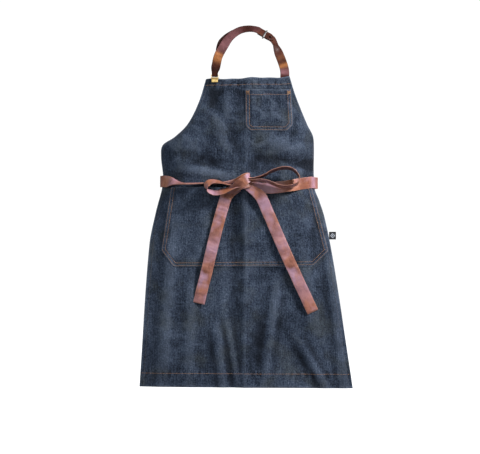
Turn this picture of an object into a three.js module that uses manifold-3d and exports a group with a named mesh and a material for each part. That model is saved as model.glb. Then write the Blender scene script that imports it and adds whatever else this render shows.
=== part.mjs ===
// A denim bib apron: one front panel with turned hems, a chest pocket and a wide waist pocket,
// a leather neck strap on a brass clip, and two leather waist ties knotted in a bow.
// Millimetres, +Z up, the front towards -Y. The origin is the inner top of the neck loop,
// where the apron hangs.
import * as THREE from 'three';
import { mergeVertices } from 'three/addons/utils/BufferGeometryUtils.js';
import Module from 'manifold-3d';

const wasm = await Module();
wasm.setup();

// Driving dimensions of the cloth
const bibTop = -129;             // height of the bib's top edge
const hemLine = -985;            // height of the skirt's lower edge
const waistLine = -412;          // height where the ties draw the sides back
const clothThickness = 1;
const foldThickness = 1.2;       // a pressed hem behind the cloth
const hemGap = 1.8;              // clear space between the cloth and a hem behind it
const curveGap = 1.2;            // more of it where the edge curves sharply
const sideHemWidth = 15;
const topHemDepth = 18;
const bottomHemDepth = 38;
const leftTurn = 50;             // how far each side is drawn back at the waist
const rightTurn = 80;
const turnSpan = 150;            // height over which the drawing back fades
const hemFlare = 12;             // how far the skirt's sides stay back at the hem
const sideArc = Math.PI / 4;     // the cross-section's arc from the middle to a side

// Pockets
const chestPocket = { top: -162, bottom: -274, lift: 6.5 };
const waistPocket = { top: -441, bottom: -651, lift: 7.5 };
const pocketSeam = 2.2;          // a sewn pocket edge stands this far off the panel
const pocketHemDepth = 14;

// Leather
const strapWidth = 25;
const strapEndWidth = 17;        // where the neck strap is folded round the clip's bar
const strapThickness = 2.2;
const tieWidth = 32;
const gatheredWidth = 14;        // a tie folded lengthwise on its way into the knot
const tieThickness = 2.2;
const knot = { x: -10, y: -22, z: -420, wide: 36, deep: 32, tall: 40 };

// Neck strap fittings
const clip = { x: -88, width: 21, plate: 1.2, foot: -140.5, backTop: -127, cheekFoot: -131, knuckle: 1.9 };
const hinge = { y: 0.5, z: -122 };         // the clip's top bar, where the bib swings
const hangAngle = 0.018;                   // radians
const barRadius = 1.2;
const leverPin = { y: -3.7, z: -129, radius: 0.9 };
const overlap = { x: 30, y: 15, z: 5.4, slope: -29.6, lean: 40, layer: 1.4 };
const keeper = { at: 24, wire: 2, depth: 4, inside: [26.6, 6.2] };
const stud = { at: 42, head: 4, neck: 1.4, hole: 1.8, height: 3 };
const label = { top: -554, height: 22, width: 19.2, thickness: 0.9, clear: 1.6 };

const denim = { color: 0x2c3138, roughness: 0.95, metalness: 0 };
const leather = { color: 0x6b3529, roughness: 0.6, metalness: 0 };
const darkLeather = { color: 0x4b2621, roughness: 0.6, metalness: 0 };
const brass = { color: 0xc9a54a, roughness: 0.3, metalness: 1 };
const steel = { color: 0xc4c4c0, roughness: 0.3, metalness: 1 };
const wovenBlack = { color: 0x17171a, roughness: 0.9, metalness: 0 };

const v3 = (x, y, z) => new THREE.Vector3(x, y, z);
const mix = THREE.MathUtils.lerp;
const smooth = THREE.MathUtils.smoothstep;

// What stays with the neck loop, and what hangs from the clip's bar. The sides and the ties
// behind are heavier than the bow in front, so the apron hangs turned a little to balance.
const apron = new THREE.Group();
const neck = new THREE.Group();
const hanging = new THREE.Group();
apron.add(neck, hanging);
hanging.rotation.x = -hangAngle;
hanging.position.set(0, hinge.y, hinge.z);
hanging.position.sub(v3(0, hinge.y, hinge.z).applyEuler(hanging.rotation));

function add(name, geometry, finish, group = hanging) {
  const mesh = new THREE.Mesh(geometry, new THREE.MeshStandardMaterial(finish));
  mesh.name = name;
  group.add(mesh);
}

// A smooth value through [position, value] pairs whose positions fall: a cubic between each
// two, its slopes taken from their neighbours.
function through(pairs) {
  const slopes = pairs.map((_, i) => {
    const before = pairs[Math.max(i - 1, 0)];
    const after = pairs[Math.min(i + 1, pairs.length - 1)];
    return (after[1] - before[1]) / (after[0] - before[0]);
  });
  return (at) => {
    let i = 0;
    while (i < pairs.length - 2 && at < pairs[i + 1][0]) i += 1;
    const span = pairs[i + 1][0] - pairs[i][0];
    const t = THREE.MathUtils.clamp((at - pairs[i][0]) / span, 0, 1);
    const ease = t * t * (3 - 2 * t);
    const lead = t * (1 - t) * (1 - t) * span * slopes[i];
    const trail = t * t * (t - 1) * span * slopes[i + 1];
    return mix(pairs[i][1], pairs[i + 1][1], ease) + lead + trail;
  };
}

// Straight runs through [position, value] pairs whose positions fall
function steps(pairs) {
  return (at) => {
    let i = 0;
    while (i < pairs.length - 2 && at < pairs[i + 1][0]) i += 1;
    const t = (at - pairs[i][0]) / (pairs[i + 1][0] - pairs[i][0]);
    return mix(pairs[i][1], pairs[i + 1][1], THREE.MathUtils.clamp(t, 0, 1));
  };
}

// The panel's outline as seen from the front, as x for each height: the bib's armhole curves,
// the sides drawn in at the waist, and the skirt widening to the hem.
const leftEdge = through([[-129, -112], [-195, -132], [-255, -163], [-291, -200], [-312, -232],
  [-340, -238], [-415, -233], [-499, -252], [-590, -269], [-985, -296]]);
const rightEdge = through([[-129, 119], [-181, 137], [-257, 169], [-284, 184], [-305, 188],
  [-430, 191], [-467, 204], [-514, 218], [-634, 240], [-985, 294]]);
const centreLine = steps([[-129, 4], [-420, -4], [-985, -6]]);
const centredAt = (z, spread) => Math.exp(-(((z - waistLine) / spread) ** 2));
const flare = (z) => hemFlare * smooth(-z, -waistLine, -hemLine);

// A point of the cloth: s runs from -1 at the left side to 1 at the right, z is the height.
// Across, the cloth is an arc whose ends are drawn back as the fifth power of s.
function clothMiddle(s, z) {
  const middle = centreLine(z);
  const reach = s < 0 ? middle - leftEdge(z) : rightEdge(z) - middle;
  const turn = (s < 0 ? leftTurn : rightTurn) * centredAt(z, turnSpan) + flare(z);
  const x = middle + reach * Math.sin(s * sideArc) / Math.sin(sideArc);
  const tilt = 3.5 * s * Math.exp((z - bibTop) / 40);
  return v3(x, turn * Math.abs(s) ** 5, z + tilt);
}

// The same point moved out towards the front, square to the cloth
function cloth(s, z, out = 0) {
  const across = clothMiddle(s + 0.01, z).sub(clothMiddle(s - 0.01, z));
  const up = clothMiddle(s, z + 1).sub(clothMiddle(s, z - 1));
  return clothMiddle(s, z).addScaledVector(across.cross(up).normalize(), out);
}

// The s at which the cloth is seen at a given x
function acrossAt(x, z) {
  const middle = centreLine(z);
  const reach = x < middle ? middle - leftEdge(z) : rightEdge(z) - middle;
  return Math.asin(THREE.MathUtils.clamp((x - middle) / reach, -1, 1) * Math.sin(sideArc)) / sideArc;
}

// The s of a line that keeps a given distance, along the cloth, from one side
function inFrom(side, z, width) {
  const length = clothMiddle(side, z).distanceTo(clothMiddle(side * 0.95, z)) / 0.05;
  return side * (1 - width / length);
}

// Columns of the cloth drawn closer together towards both sides, where it turns back
const crowded = (s) => s * (1.35 - 0.35 * s * s);

// A box bent onto place(u, v, w), each running from 0 to 1, with its faces pointing out
function bent(counts, place) {
  const shape = new THREE.BoxGeometry(1, 1, 1, ...counts);
  shape.deleteAttribute('normal');
  shape.deleteAttribute('uv');
  const at = shape.attributes.position;
  for (let i = 0; i < at.count; i += 1) {
    const point = place(at.getX(i) + 0.5, at.getY(i) + 0.5, at.getZ(i) + 0.5);
    at.setXYZ(i, point.x, point.y, point.z);
  }
  return outward(mergeVertices(shape));
}

function outward(shape) {
  const at = shape.attributes.position;
  const index = shape.index.array;
  const corner = (i) => v3().fromBufferAttribute(at, index[i]);
  let volume = 0;
  for (let i = 0; i < index.length; i += 3) {
    volume += corner(i).dot(corner(i + 1).cross(corner(i + 2)));
  }
  if (volume < 0) {
    for (let i = 0; i < index.length; i += 3) {
      [index[i], index[i + 1]] = [index[i + 1], index[i]];
    }
  }
  return shape;
}

function solid(shape) {
  const bare = shape.clone();
  bare.deleteAttribute('normal');
  bare.deleteAttribute('uv');
  const merged = mergeVertices(bare);
  const vertProperties = new Float32Array(merged.attributes.position.array);
  const triVerts = new Uint32Array(merged.index.array);
  return new wasm.Manifold(new wasm.Mesh({ numProp: 3, vertProperties, triVerts }));
}

function shapeOf(body) {
  const mesh = body.getMesh();
  const shape = new THREE.BufferGeometry();
  shape.setAttribute('position', new THREE.BufferAttribute(mesh.vertProperties, 3));
  shape.setIndex(new THREE.BufferAttribute(mesh.triVerts, 1));
  return shape;
}

// A layer of cloth over the panel: edges gives [left s, right s] for a height, out gives how
// far its middle stands off the panel.
function layer(counts, top, bottom, edges, out, thickness) {
  return bent([counts[0], counts[1], 1], (u, v, w) => {
    const z = mix(bottom, top, v);
    const [from, to] = edges(z);
    return cloth(mix(from, to, u), z, out(u, v) + (w - 0.5) * thickness);
  });
}

// A strap: route is a list of points, across the direction of its width at each of them
function strap({ route, across, width, thickness, count }) {
  const line = new THREE.CatmullRomCurve3(route, false, 'centripetal');
  return bent([1, count, 1], (u, v, w) => {
    const tangent = line.getTangent(v);
    const place = v * (route.length - 1);
    const index = Math.min(Math.floor(place), route.length - 2);
    const side = across[index].clone().lerp(across[index + 1], place - index);
    side.addScaledVector(tangent, -side.dot(tangent)).normalize();
    const face = tangent.clone().cross(side);
    return line.getPoint(v)
      .addScaledVector(side, (u - 0.5) * width(v))
      .addScaledVector(face, (w - 0.5) * thickness(v));
  });
}

const always = (value) => () => value;
const hemBack = clothThickness / 2 + hemGap + foldThickness;   // the rear face of a hem
const sewnDepth = hemBack + 0.4 + strapThickness / 2;          // leather sewn behind a hem

// Front panel and the hems turned behind it
function makePanel() {
  const panel = bent([26, 36, 1], (u, v, w) => {
    const z = mix(hemLine, bibTop, v);
    return cloth(crowded(2 * u - 1), z, (w - 0.5) * clothThickness);
  });
  add('denim_panel', panel, denim);
  const behind = (clothThickness + foldThickness) / 2 + hemGap;
  const hem = (name, counts, top, bottom, edges, clear = 0) => {
    add(name, layer(counts, top, bottom, edges, always(-behind - clear), foldThickness), denim);
  };
  const armholeTop = bibTop - topHemDepth - 2;
  const armholeFoot = { left: -318, right: -294 };
  const sideFoot = hemLine + bottomHemDepth + 2;
  hem('top_hem', [14, 1], bibTop - 1, bibTop - topHemDepth, () => [-0.98, 0.98]);
  hem('bottom_hem', [20, 1], hemLine + bottomHemDepth, hemLine + 1, () => [-0.985, 0.985]);
  for (const [name, side] of [['left', -1], ['right', 1]]) {
    const strip = (z) => [side * 0.995, inFrom(side, z, sideHemWidth)];
    hem(`${name}_armhole_facing`, [2, 14], armholeTop, armholeFoot[name] + 2, strip, curveGap);
    hem(`${name}_side_hem`, [2, 26], armholeFoot[name] - 2, sideFoot, strip, curveGap / 3);
  }
}

// A patch pocket: sewn on three sides, standing off the panel between them and at its mouth
function makePocket(name, pocket, counts, leftLine, rightLine) {
  const edges = (z) => [acrossAt(leftLine(z), z), acrossAt(rightLine(z), z)];
  const rise = (u) => smooth(Math.min(u, 1 - u), 0, 0.1);
  const out = (u, v) => pocketSeam + pocket.lift * rise(u) * smooth(v, 0, 0.25);
  add(name, layer(counts, pocket.top, pocket.bottom, edges, out, clothThickness), denim);

  const [from, to] = [0.1, 0.9];
  const inner = (z) => {
    const [left, right] = edges(z);
    return [mix(left, right, from), mix(left, right, to)];
  };
  const inside = pocketSeam + pocket.lift - clothThickness - 0.4;
  const foot = pocket.top - pocketHemDepth;
  const columns = Math.round(counts[0] * (to - from));
  const hem = layer([columns, 1], pocket.top - 1, foot, inner, always(inside), clothThickness);
  add(`${name}_hem`, hem, denim);
}

function makePockets() {
  makePocket('chest_pocket', chestPocket, [10, 8],
    steps([[-162, -3], [-263, -2], [-274, 11]]),
    steps([[-162, 123], [-256, 128], [-274, 111]]));
  makePocket('waist_pocket', waistPocket, [20, 12],
    steps([[-441, -209], [-605, -234], [-651, -202]]),
    steps([[-441, 181], [-610, 226], [-651, 185]]));
}

// A woven label folded into the right side seam
function makeLabel() {
  const sewn = cloth(1, label.top - label.height / 2);
  const flag = new THREE.BoxGeometry(label.width, label.thickness, label.height);
  flag.translate(sewn.x + label.clear + label.width / 2, sewn.y, label.top - label.height / 2);
  add('side_label', flag, wovenBlack);
}

// The straight stretch where the two halves of the neck strap overlap
const stretch = (() => {
  const slope = THREE.MathUtils.degToRad(overlap.slope);
  const lean = THREE.MathUtils.degToRad(overlap.lean);
  const along = v3(Math.cos(slope), 0, Math.sin(slope));
  const inner = v3(Math.sin(slope), 0, -Math.cos(slope));
  const across = inner.multiplyScalar(Math.cos(lean)).addScaledVector(v3(0, -1, 0), Math.sin(lean));
  const back = along.clone().cross(across);
  const start = v3(overlap.x, overlap.y, overlap.z);
  const at = (distance, depth) => start.clone().addScaledVector(along, distance)
    .addScaledVector(back, depth);
  const turned = (distance, depth) => new THREE.Matrix4().makeBasis(across, back, along.clone())
    .setPosition(at(distance, depth));
  return { across, at, turned };
})();

function makeNeckStrap() {
  const fold = strapThickness / 2 + 0.5 + barRadius;
  const round = (angle) => v3(clip.x, hinge.y + fold * Math.cos(angle), hinge.z + fold * Math.sin(angle));
  const left = v3(1, 0, 0);
  const longRoute = [v3(-86, 3.2, -99), v3(-87.5, 3.8, -110), round(0), round(-Math.PI / 4),
    round(-Math.PI / 2), round(-Math.PI * 0.75), round(-Math.PI), v3(-87.5, -2.6, -110),
    v3(-84, -2.4, -92), v3(-78, -1, -68), v3(-63, 3, -40), v3(-46, 9, -15), v3(-21, 14, 3.5),
    v3(8, 16, 9.5), stretch.at(0, -overlap.layer), stretch.at(10, -overlap.layer),
    stretch.at(30, -overlap.layer), stretch.at(52, -overlap.layer)];
  const longAcross = [left, left, left, left, left, left, left, left, left, v3(1, 0.2, -0.2),
    v3(0.85, -0.1, -0.5), v3(0.7, -0.4, -0.65), v3(0.35, -0.6, -0.8), v3(0, -0.64, -0.76),
    stretch.across, stretch.across, stretch.across, stretch.across];
  const longWidth = (v) => {
    const body = mix(strapEndWidth, strapWidth, smooth(v, 0.42, 0.55));
    return body * Math.sqrt(Math.max(1 - smooth(v, 0.97, 1) * 0.7, 0.3));
  };
  const thick = always(strapThickness);
  const punch = new THREE.CylinderGeometry(stud.hole, stud.hole, 20, 16);
  punch.applyMatrix4(stretch.turned(stud.at, 0));
  const punched = (shape) => shapeOf(solid(shape).subtract(solid(punch)));

  const long = strap({
    route: longRoute, across: longAcross, width: longWidth, thickness: thick, count: 68,
  });
  add('neck_strap_long', punched(long), darkLeather, neck);

  const foot = cloth(acrossAt(106, bibTop), hinge.z + 2.5, -sewnDepth);
  const shortRoute = [stretch.at(6, overlap.layer), stretch.at(20, overlap.layer),
    stretch.at(34, overlap.layer), stretch.at(48, overlap.layer), v3(81, 14, -36), v3(90, 10, -60),
    v3(99, 7, -84), v3(105, foot.y + 0.3, -104), foot];
  const right = v3(-1, 0, 0);
  const shortAcross = [stretch.across, stretch.across, stretch.across, stretch.across,
    v3(-0.55, -0.8, -0.2), v3(-0.9, -0.2, -0.3), v3(-1, 0, -0.2), right, right];
  const short = strap({
    route: shortRoute, across: shortAcross, width: always(strapWidth), thickness: thick, count: 32,
  });
  add('neck_strap_short', punched(short), darkLeather, neck);

  const sewnTop = hinge.z - 2.5;
  const sewnSides = () => [acrossAt(94, bibTop), acrossAt(118, bibTop)];
  const sewn = layer([2, 4], sewnTop, sewnTop - 21, sewnSides, always(-sewnDepth), strapThickness);
  add('neck_strap_sewn_end', sewn, darkLeather);
}

// The stud through both layers of the strap, and the metal loop that slides along them
function makeStrapFittings() {
  const face = overlap.layer + strapThickness / 2 + 0.3;
  const profile = [[0, -face - stud.height], [2.6, -face - stud.height + 0.2], [stud.head, -face - 1.4],
    [stud.head, -face - 0.5], [stud.head - 0.5, -face], [stud.neck, -face], [stud.neck, face - 0.3],
    [0, face - 0.3]];
  const head = new THREE.LatheGeometry(profile.map(([r, d]) => new THREE.Vector2(r, d)), 20);
  add('stud_knob', outward(mergeBare(head.applyMatrix4(stretch.turned(stud.at, 0)))), darkLeather, neck);
  const base = new THREE.CylinderGeometry(stud.head, stud.head - 0.6, 1.2, 20);
  base.translate(0, face + 0.6, 0);
  add('stud_back', outward(mergeBare(base.applyMatrix4(stretch.turned(stud.at, 0)))), brass, neck);

  const [wide, deep] = keeper.inside.map((size) => size / 2);
  const ring = frameShape(wide + keeper.wire, deep + keeper.wire, 2);
  ring.holes.push(frameShape(wide, deep, 0.8));
  const depth = keeper.depth;
  const loop = new THREE.ExtrudeGeometry(ring, { depth, bevelEnabled: false, curveSegments: 3 });
  loop.translate(0, 0, -depth / 2);
  add('keeper_loop', outward(mergeBare(loop.applyMatrix4(stretch.turned(keeper.at, 0)))), steel, neck);
}

function mergeBare(shape) {
  shape.deleteAttribute('normal');
  shape.deleteAttribute('uv');
  return mergeVertices(shape, 1e-3);
}

// A rectangle with round corners, given by half its sides
function frameShape(wide, deep, round) {
  const shape = new THREE.Shape();
  shape.moveTo(wide - round, -deep);
  shape.absarc(wide - round, round - deep, round, -Math.PI / 2, 0);
  shape.absarc(wide - round, deep - round, round, 0, Math.PI / 2);
  shape.absarc(round - wide, deep - round, round, Math.PI / 2, Math.PI);
  shape.absarc(round - wide, round - deep, round, Math.PI, Math.PI * 1.5);
  return shape;
}

// A box given by its lowest and highest corners
function block(low, high) {
  const size = high.clone().sub(low);
  const middle = high.clone().add(low).multiplyScalar(0.5);
  return new THREE.BoxGeometry(size.x, size.y, size.z).translate(middle.x, middle.y, middle.z);
}

// A rod along X
function rod(radius, length, y, z, sides = 16) {
  return new THREE.CylinderGeometry(radius, radius, length, sides)
    .rotateZ(Math.PI / 2).translate(clip.x, y, z);
}

// The brass clip that grips the bib's top hem: a frame with two cheeks, the bar that the strap
// is folded round, and a lever plate on its own pin.
function makeClip() {
  const half = clip.width / 2;
  const backInner = hemBack + 1;
  const backOuter = backInner + clip.plate;
  const [low, high] = [clip.x - half, clip.x + half];
  const cheek = (from) => block(v3(from, leverPin.y - clip.knuckle, clip.cheekFoot),
    v3(from + clip.plate, backOuter, hinge.z + 2.2));
  const back = block(v3(low, backInner, clip.foot), v3(high, backOuter, clip.backTop));
  const frame = solid(back).add(solid(cheek(low))).add(solid(cheek(high - clip.plate)));
  add('clip_frame', shapeOf(frame), brass);

  const between = clip.width - 2 * clip.plate - 0.6;
  add('clip_bar', rod(barRadius, between, hinge.y, hinge.z), brass);
  add('clip_lever_pin', rod(leverPin.radius, between, leverPin.y, leverPin.z), brass);

  const reach = between / 2 - 0.2;
  const plateBack = -clothThickness / 2 - 0.6;
  const front = plateBack - clip.plate;
  const plate = block(v3(clip.x - reach, front, clip.foot), v3(clip.x + reach, plateBack, leverPin.z));
  const lip = front - 0.8;
  const toe = block(v3(clip.x - reach, lip, clip.foot), v3(clip.x + reach, plateBack, clip.foot + 3));
  const knuckle = rod(clip.knuckle, 2 * reach, leverPin.y, leverPin.z, 20);
  const bore = rod(leverPin.radius + 0.35, between + 2, leverPin.y, leverPin.z);
  const lever = solid(plate).add(solid(toe)).add(solid(knuckle)).subtract(solid(bore));
  add('clip_lever', shapeOf(lever), brass);
}

// The two waist ties. Each is sewn inside one side, crosses behind to the other side, comes
// round it to the front and runs into the knot.
function makeTies() {
  const upright = v3(0, 0, 1);
  const leftDepth = -sewnDepth - 0.8;
  const leftRoute = [cloth(0.91, -412, leftDepth), cloth(0.96, -412, leftDepth), v3(183, 83, -411),
    v3(150, 84, -407), v3(60, 76, -395), v3(-60, 69, -394), v3(-150, 65, -403), v3(-215, 62, -411),
    v3(-240, 56, -414),
    cloth(-0.97, -414, 5), cloth(-0.9, -416, 8), cloth(-0.8, -419, 14), v3(-168, -8, -422),
    v3(-115, -10, -421), v3(-68, -10, -420), v3(-32, -12, -412)];
  const leftAcross = [...Array(9).fill(upright), upright, v3(0.1, 0.2, 0.95), v3(0.2, 0.7, 0.7),
    v3(0, 1, 0.1), v3(0, 1, 0), v3(0, 1, 0), v3(0, 1, 0)];
  const leftWidth = (v) => mix(tieWidth, gatheredWidth, smooth(v, 0.66, 0.8));
  const leftThick = (v) => mix(tieThickness, 2 * tieThickness, smooth(v, 0.66, 0.8));
  const left = strap({
    route: leftRoute, across: leftAcross, width: leftWidth, thickness: leftThick, count: 60,
  });
  add('waist_tie_left', left, leather);

  const rightDepth = -sewnDepth - 1.2;
  const rightRoute = [cloth(-0.91, -420, rightDepth), cloth(-0.96, -420, rightDepth), v3(-225, 55, -420),
    v3(-190, 57, -423), v3(-80, 62, -434), v3(20, 75, -434), v3(90, 84, -429), v3(160, 93, -420),
    v3(190, 95, -417), v3(200, 86, -417), cloth(0.97, -417, 5), cloth(0.9, -417, 5), cloth(0.8, -420, 8),
    v3(123, -12, -427), v3(87, -13.5, -432), v3(51, -14, -434), v3(14, -15, -428)];
  const rightAcross = [...Array(13).fill(upright), v3(0.05, 0.1, 1), v3(0.1, 0.1, 1), v3(0, 0.2, 1),
    v3(-0.2, 0.4, 0.9)];
  const rightWidth = (v) => mix(tieWidth, 24, smooth(v, 0.9, 1));
  const right = strap({
    route: rightRoute, across: rightAcross, width: rightWidth, thickness: always(tieThickness), count: 64,
  });
  add('waist_tie_right', right, leather);
}

// The knot, its two loops and its two hanging tails
function makeBow() {
  const rounded = bent([6, 6, 6], (u, v, w) => {
    const [x, y, z] = [2 * u - 1, 2 * v - 1, 2 * w - 1];
    const pull = (a, b) => Math.sqrt(1 - a * a / 2 - b * b / 2 + a * a * b * b / 3);
    const soft = (value, a, b) => value * mix(1, pull(a, b), 0.8);
    return v3(knot.x + soft(x, y, z) * knot.wide / 2, knot.y + soft(y, x, z) * knot.deep / 2,
      knot.z + soft(z, x, y) * knot.tall / 2);
  });
  add('bow_knot', rounded, leather);

  const loopAcross = v3(0, 1, -0.4);
  const rightLoop = [[11, -409], [50, -399], [97, -378], [128, -380], [146, -403], [128, -424],
    [87, -425], [50, -414], [11, -415]];
  add('bow_loop_right', strap({
    route: rightLoop.map(([x, z]) => v3(x, -31, z)),
    across: Array(rightLoop.length).fill(loopAcross),
    width: (v) => mix(20, 28, smooth(Math.min(v, 1 - v), 0, 0.3)),
    thickness: always(tieThickness),
    count: 40,
  }), leather);

  const leftLoop = [[-31, -417], [-48, -413], [-73, -414], [-100, -419], [-114, -432], [-102, -446],
    [-73, -450], [-48, -443], [-31, -428]];
  const leftAcross = leftLoop.map((_, i) => (i < 4 ? v3(0, 1, -0.1) : v3(0, 1, -0.45)));
  add('bow_loop_left', strap({
    route: leftLoop.map(([x, z]) => v3(x, -29, z)),
    across: leftAcross,
    width: always(18),
    thickness: always(tieThickness),
    count: 36,
  }), leather);

  const tail = (name, route, count, width) => {
    const across = route.map((point, i) => {
      const [a, b] = [route[Math.max(i - 1, 0)], route[Math.min(i + 1, route.length - 1)]];
      return v3(a.z - b.z, 0, b.x - a.x);
    });
    add(name, strap({ route, across, width, thickness: always(tieThickness), count }), leather);
  };
  const spread = (v) => mix(18, tieWidth, smooth(v, 0, 1));
  tail('tail_left_top', [v3(-28, -14, -438), v3(-44, -14, -445), v3(-55, -13.8, -456),
    v3(-58.5, -13.5, -466)], 6, spread);
  tail('tie_tail_left', [v3(-60, -13.3, -471), v3(-79, -12.5, -535), v3(-96, -12, -605),
    v3(-114, -9, -680), v3(-132, -6, -752)], 14, always(tieWidth));
  tail('tail_right_top', [v3(8, -26, -438), v3(26, -25, -446), v3(38, -23.5, -456),
    v3(43, -22, -466)], 6, spread);
  tail('tie_tail_right', [v3(45.5, -21, -471), v3(54, -18.5, -490), v3(76, -13, -541),
    v3(107, -12, -612), v3(137, -9.5, -677), v3(183, -6, -776)], 18, always(tieWidth));
}

makePanel();
makePockets();
makeLabel();
makeNeckStrap();
makeStrapFittings();
makeClip();
makeTies();
makeBow();

export default apron;
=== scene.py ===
import math

import bpy
import numpy as np
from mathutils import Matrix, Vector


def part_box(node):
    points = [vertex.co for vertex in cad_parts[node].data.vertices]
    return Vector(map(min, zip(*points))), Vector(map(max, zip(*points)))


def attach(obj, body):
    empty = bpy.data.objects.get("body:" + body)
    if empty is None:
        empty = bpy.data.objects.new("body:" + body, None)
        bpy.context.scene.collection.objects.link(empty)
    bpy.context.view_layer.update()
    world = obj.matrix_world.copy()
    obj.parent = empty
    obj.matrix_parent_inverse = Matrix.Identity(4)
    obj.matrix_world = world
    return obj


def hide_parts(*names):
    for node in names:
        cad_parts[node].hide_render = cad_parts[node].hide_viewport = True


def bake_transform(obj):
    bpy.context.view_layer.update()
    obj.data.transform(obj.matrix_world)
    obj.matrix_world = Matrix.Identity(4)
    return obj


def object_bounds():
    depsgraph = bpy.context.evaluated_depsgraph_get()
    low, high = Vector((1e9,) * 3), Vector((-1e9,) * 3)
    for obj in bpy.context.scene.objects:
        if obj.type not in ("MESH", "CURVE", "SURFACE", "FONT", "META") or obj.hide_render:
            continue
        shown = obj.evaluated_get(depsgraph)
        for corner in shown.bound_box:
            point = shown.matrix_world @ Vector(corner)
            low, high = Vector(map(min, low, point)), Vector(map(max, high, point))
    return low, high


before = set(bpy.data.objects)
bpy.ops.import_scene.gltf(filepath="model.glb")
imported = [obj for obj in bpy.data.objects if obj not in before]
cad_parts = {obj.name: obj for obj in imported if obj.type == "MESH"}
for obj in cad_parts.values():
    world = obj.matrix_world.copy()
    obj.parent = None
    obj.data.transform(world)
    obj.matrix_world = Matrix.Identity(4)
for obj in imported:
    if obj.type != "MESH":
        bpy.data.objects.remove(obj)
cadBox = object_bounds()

# A denim bib apron with leather straps. Lengths are in millimetres until a mesh is made.
mm = 0.001
hinge = dict(y=0.5, z=-122.0, hangAngle=0.018)  # the bib hangs from the clip's bar, turned a little

print("apron: frame loaded,", len(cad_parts), "parts")


def smooth(x, low, high):
    t = np.clip((np.asarray(x, float) - low) / (high - low), 0, 1)
    return t * t * (3 - 2 * t)


def mixed(a, b, t):
    return a + (b - a) * t


def unit(v):
    return v / np.maximum(np.linalg.norm(v, axis=-1, keepdims=True), 1e-9)


def through(pairs):
    # a cubic between each two points, with slopes taken from the neighbours: it returns the curve
    at, value = np.array(sorted(pairs), float).T
    slope = np.empty_like(value)
    slope[1:-1] = (value[2:] - value[:-2]) / (at[2:] - at[:-2])
    slope[0] = (value[1] - value[0]) / (at[1] - at[0])
    slope[-1] = (value[-1] - value[-2]) / (at[-1] - at[-2])

    def curve(x):
        i = np.clip(np.searchsorted(at, x) - 1, 0, len(at) - 2)
        span = at[i + 1] - at[i]
        t = np.clip((x - at[i]) / span, 0, 1)
        lead = t * (1 - t) ** 2 * span * slope[i]
        trail = t * t * (t - 1) * span * slope[i + 1]
        return mixed(value[i], value[i + 1], t * t * (3 - 2 * t)) + lead + trail
    return curve


def straight(pairs):
    at, value = np.array(sorted(pairs), float).T
    return lambda x: np.interp(x, at, value)


def routed(points, count):
    # centripetal spline through the points, as positions and tangents at equal steps of its index
    p = np.array(points, float)
    p = np.vstack([2 * p[0] - p[1], p, 2 * p[-1] - p[-2]])
    step = np.maximum(np.linalg.norm(np.diff(p, axis=0), axis=1) ** 0.5, 1e-3)[:, None]
    u = np.linspace(0, len(points) - 1, count)
    i = np.minimum(u.astype(int), len(points) - 2)
    t = (u - i)[:, None]
    a, b, c, d = p[i], p[i + 1], p[i + 2], p[i + 3]
    d0, d1, d2 = step[i], step[i + 1], step[i + 2]
    m1 = ((b - a) / d0 - (c - a) / (d0 + d1) + (c - b) / d1) * d1
    m2 = ((c - b) / d1 - (d - b) / (d1 + d2) + (d - c) / d2) * d1
    centre = (2 * t**3 - 3 * t**2 + 1) * b + (3 * t**2 - 2 * t**3) * c
    centre = centre + (t**3 - 2 * t**2 + t) * m1 + (t**3 - t**2) * m2
    slope = (6 * t**2 - 6 * t) * (b - c) + (3 * t**2 - 4 * t + 1) * m1 + (3 * t**2 - 2 * t) * m2
    return centre, unit(slope), u


def crumple(x, z, scale, seed):
    # a slow random swell: the sum of sines that run in random directions
    count = 10
    rng = np.random.default_rng(seed)
    turn = rng.uniform(0, np.pi, count)
    size = scale * rng.uniform(0.7, 1.7, count)
    start = rng.uniform(0, 6.283, count)
    swell = np.zeros(np.broadcast(x, z).shape)
    for a, length, phase in zip(turn, size, start):
        swell += np.sin(2 * np.pi * (x * np.cos(a) + z * np.sin(a)) / length + phase)
    return swell / math.sqrt(count)


def hung(points):
    # what hangs from the clip's bar is turned about it
    p = np.array(points, float)
    y, z = p[..., 1] - hinge["y"], p[..., 2] - hinge["z"]
    c, s = math.cos(-hinge["hangAngle"]), math.sin(-hinge["hangAngle"])
    p[..., 1], p[..., 2] = y * c - z * s + hinge["y"], y * s + z * c + hinge["z"]
    return p


def meshOf(name, points, quads, uv=None, marks=None):
    mesh = bpy.data.meshes.new(name)
    points = np.asarray(points, float).reshape(-1, 3) * mm
    quads = np.asarray(quads).reshape(-1, 4)
    mesh.vertices.add(len(points))
    mesh.vertices.foreach_set("co", points.ravel())
    mesh.loops.add(quads.size)
    mesh.loops.foreach_set("vertex_index", quads.ravel())
    mesh.polygons.add(len(quads))
    mesh.polygons.foreach_set("loop_start", np.arange(len(quads)) * 4)
    mesh.polygons.foreach_set("use_smooth", np.full(len(quads), True))
    if uv is not None:
        layer = mesh.uv_layers.new(name="weave")
        layer.data.foreach_set("uv", (np.asarray(uv, float).reshape(-1, 2) * mm)[quads.ravel()].ravel())
    for mark, values in (marks or {}).items():
        held = mesh.attributes.new(mark, "FLOAT", "POINT")
        held.data.foreach_set("value", np.asarray(values, float).ravel())
    mesh.update(calc_edges=True)
    mesh.validate()
    piece = bpy.data.objects.new(name, mesh)
    bpy.context.scene.collection.objects.link(piece)
    return piece


def gridQuads(rows, columns, start=0, flip=False):
    # the four-sided faces of a grid of points, numbered row by row from start
    r, c = np.meshgrid(np.arange(rows - 1), np.arange(columns - 1), indexing="ij")
    a = start + r * columns + c
    quads = np.stack([a, a + columns, a + columns + 1, a + 1], -1).reshape(-1, 4)
    return quads[:, ::-1] if flip else quads


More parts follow.
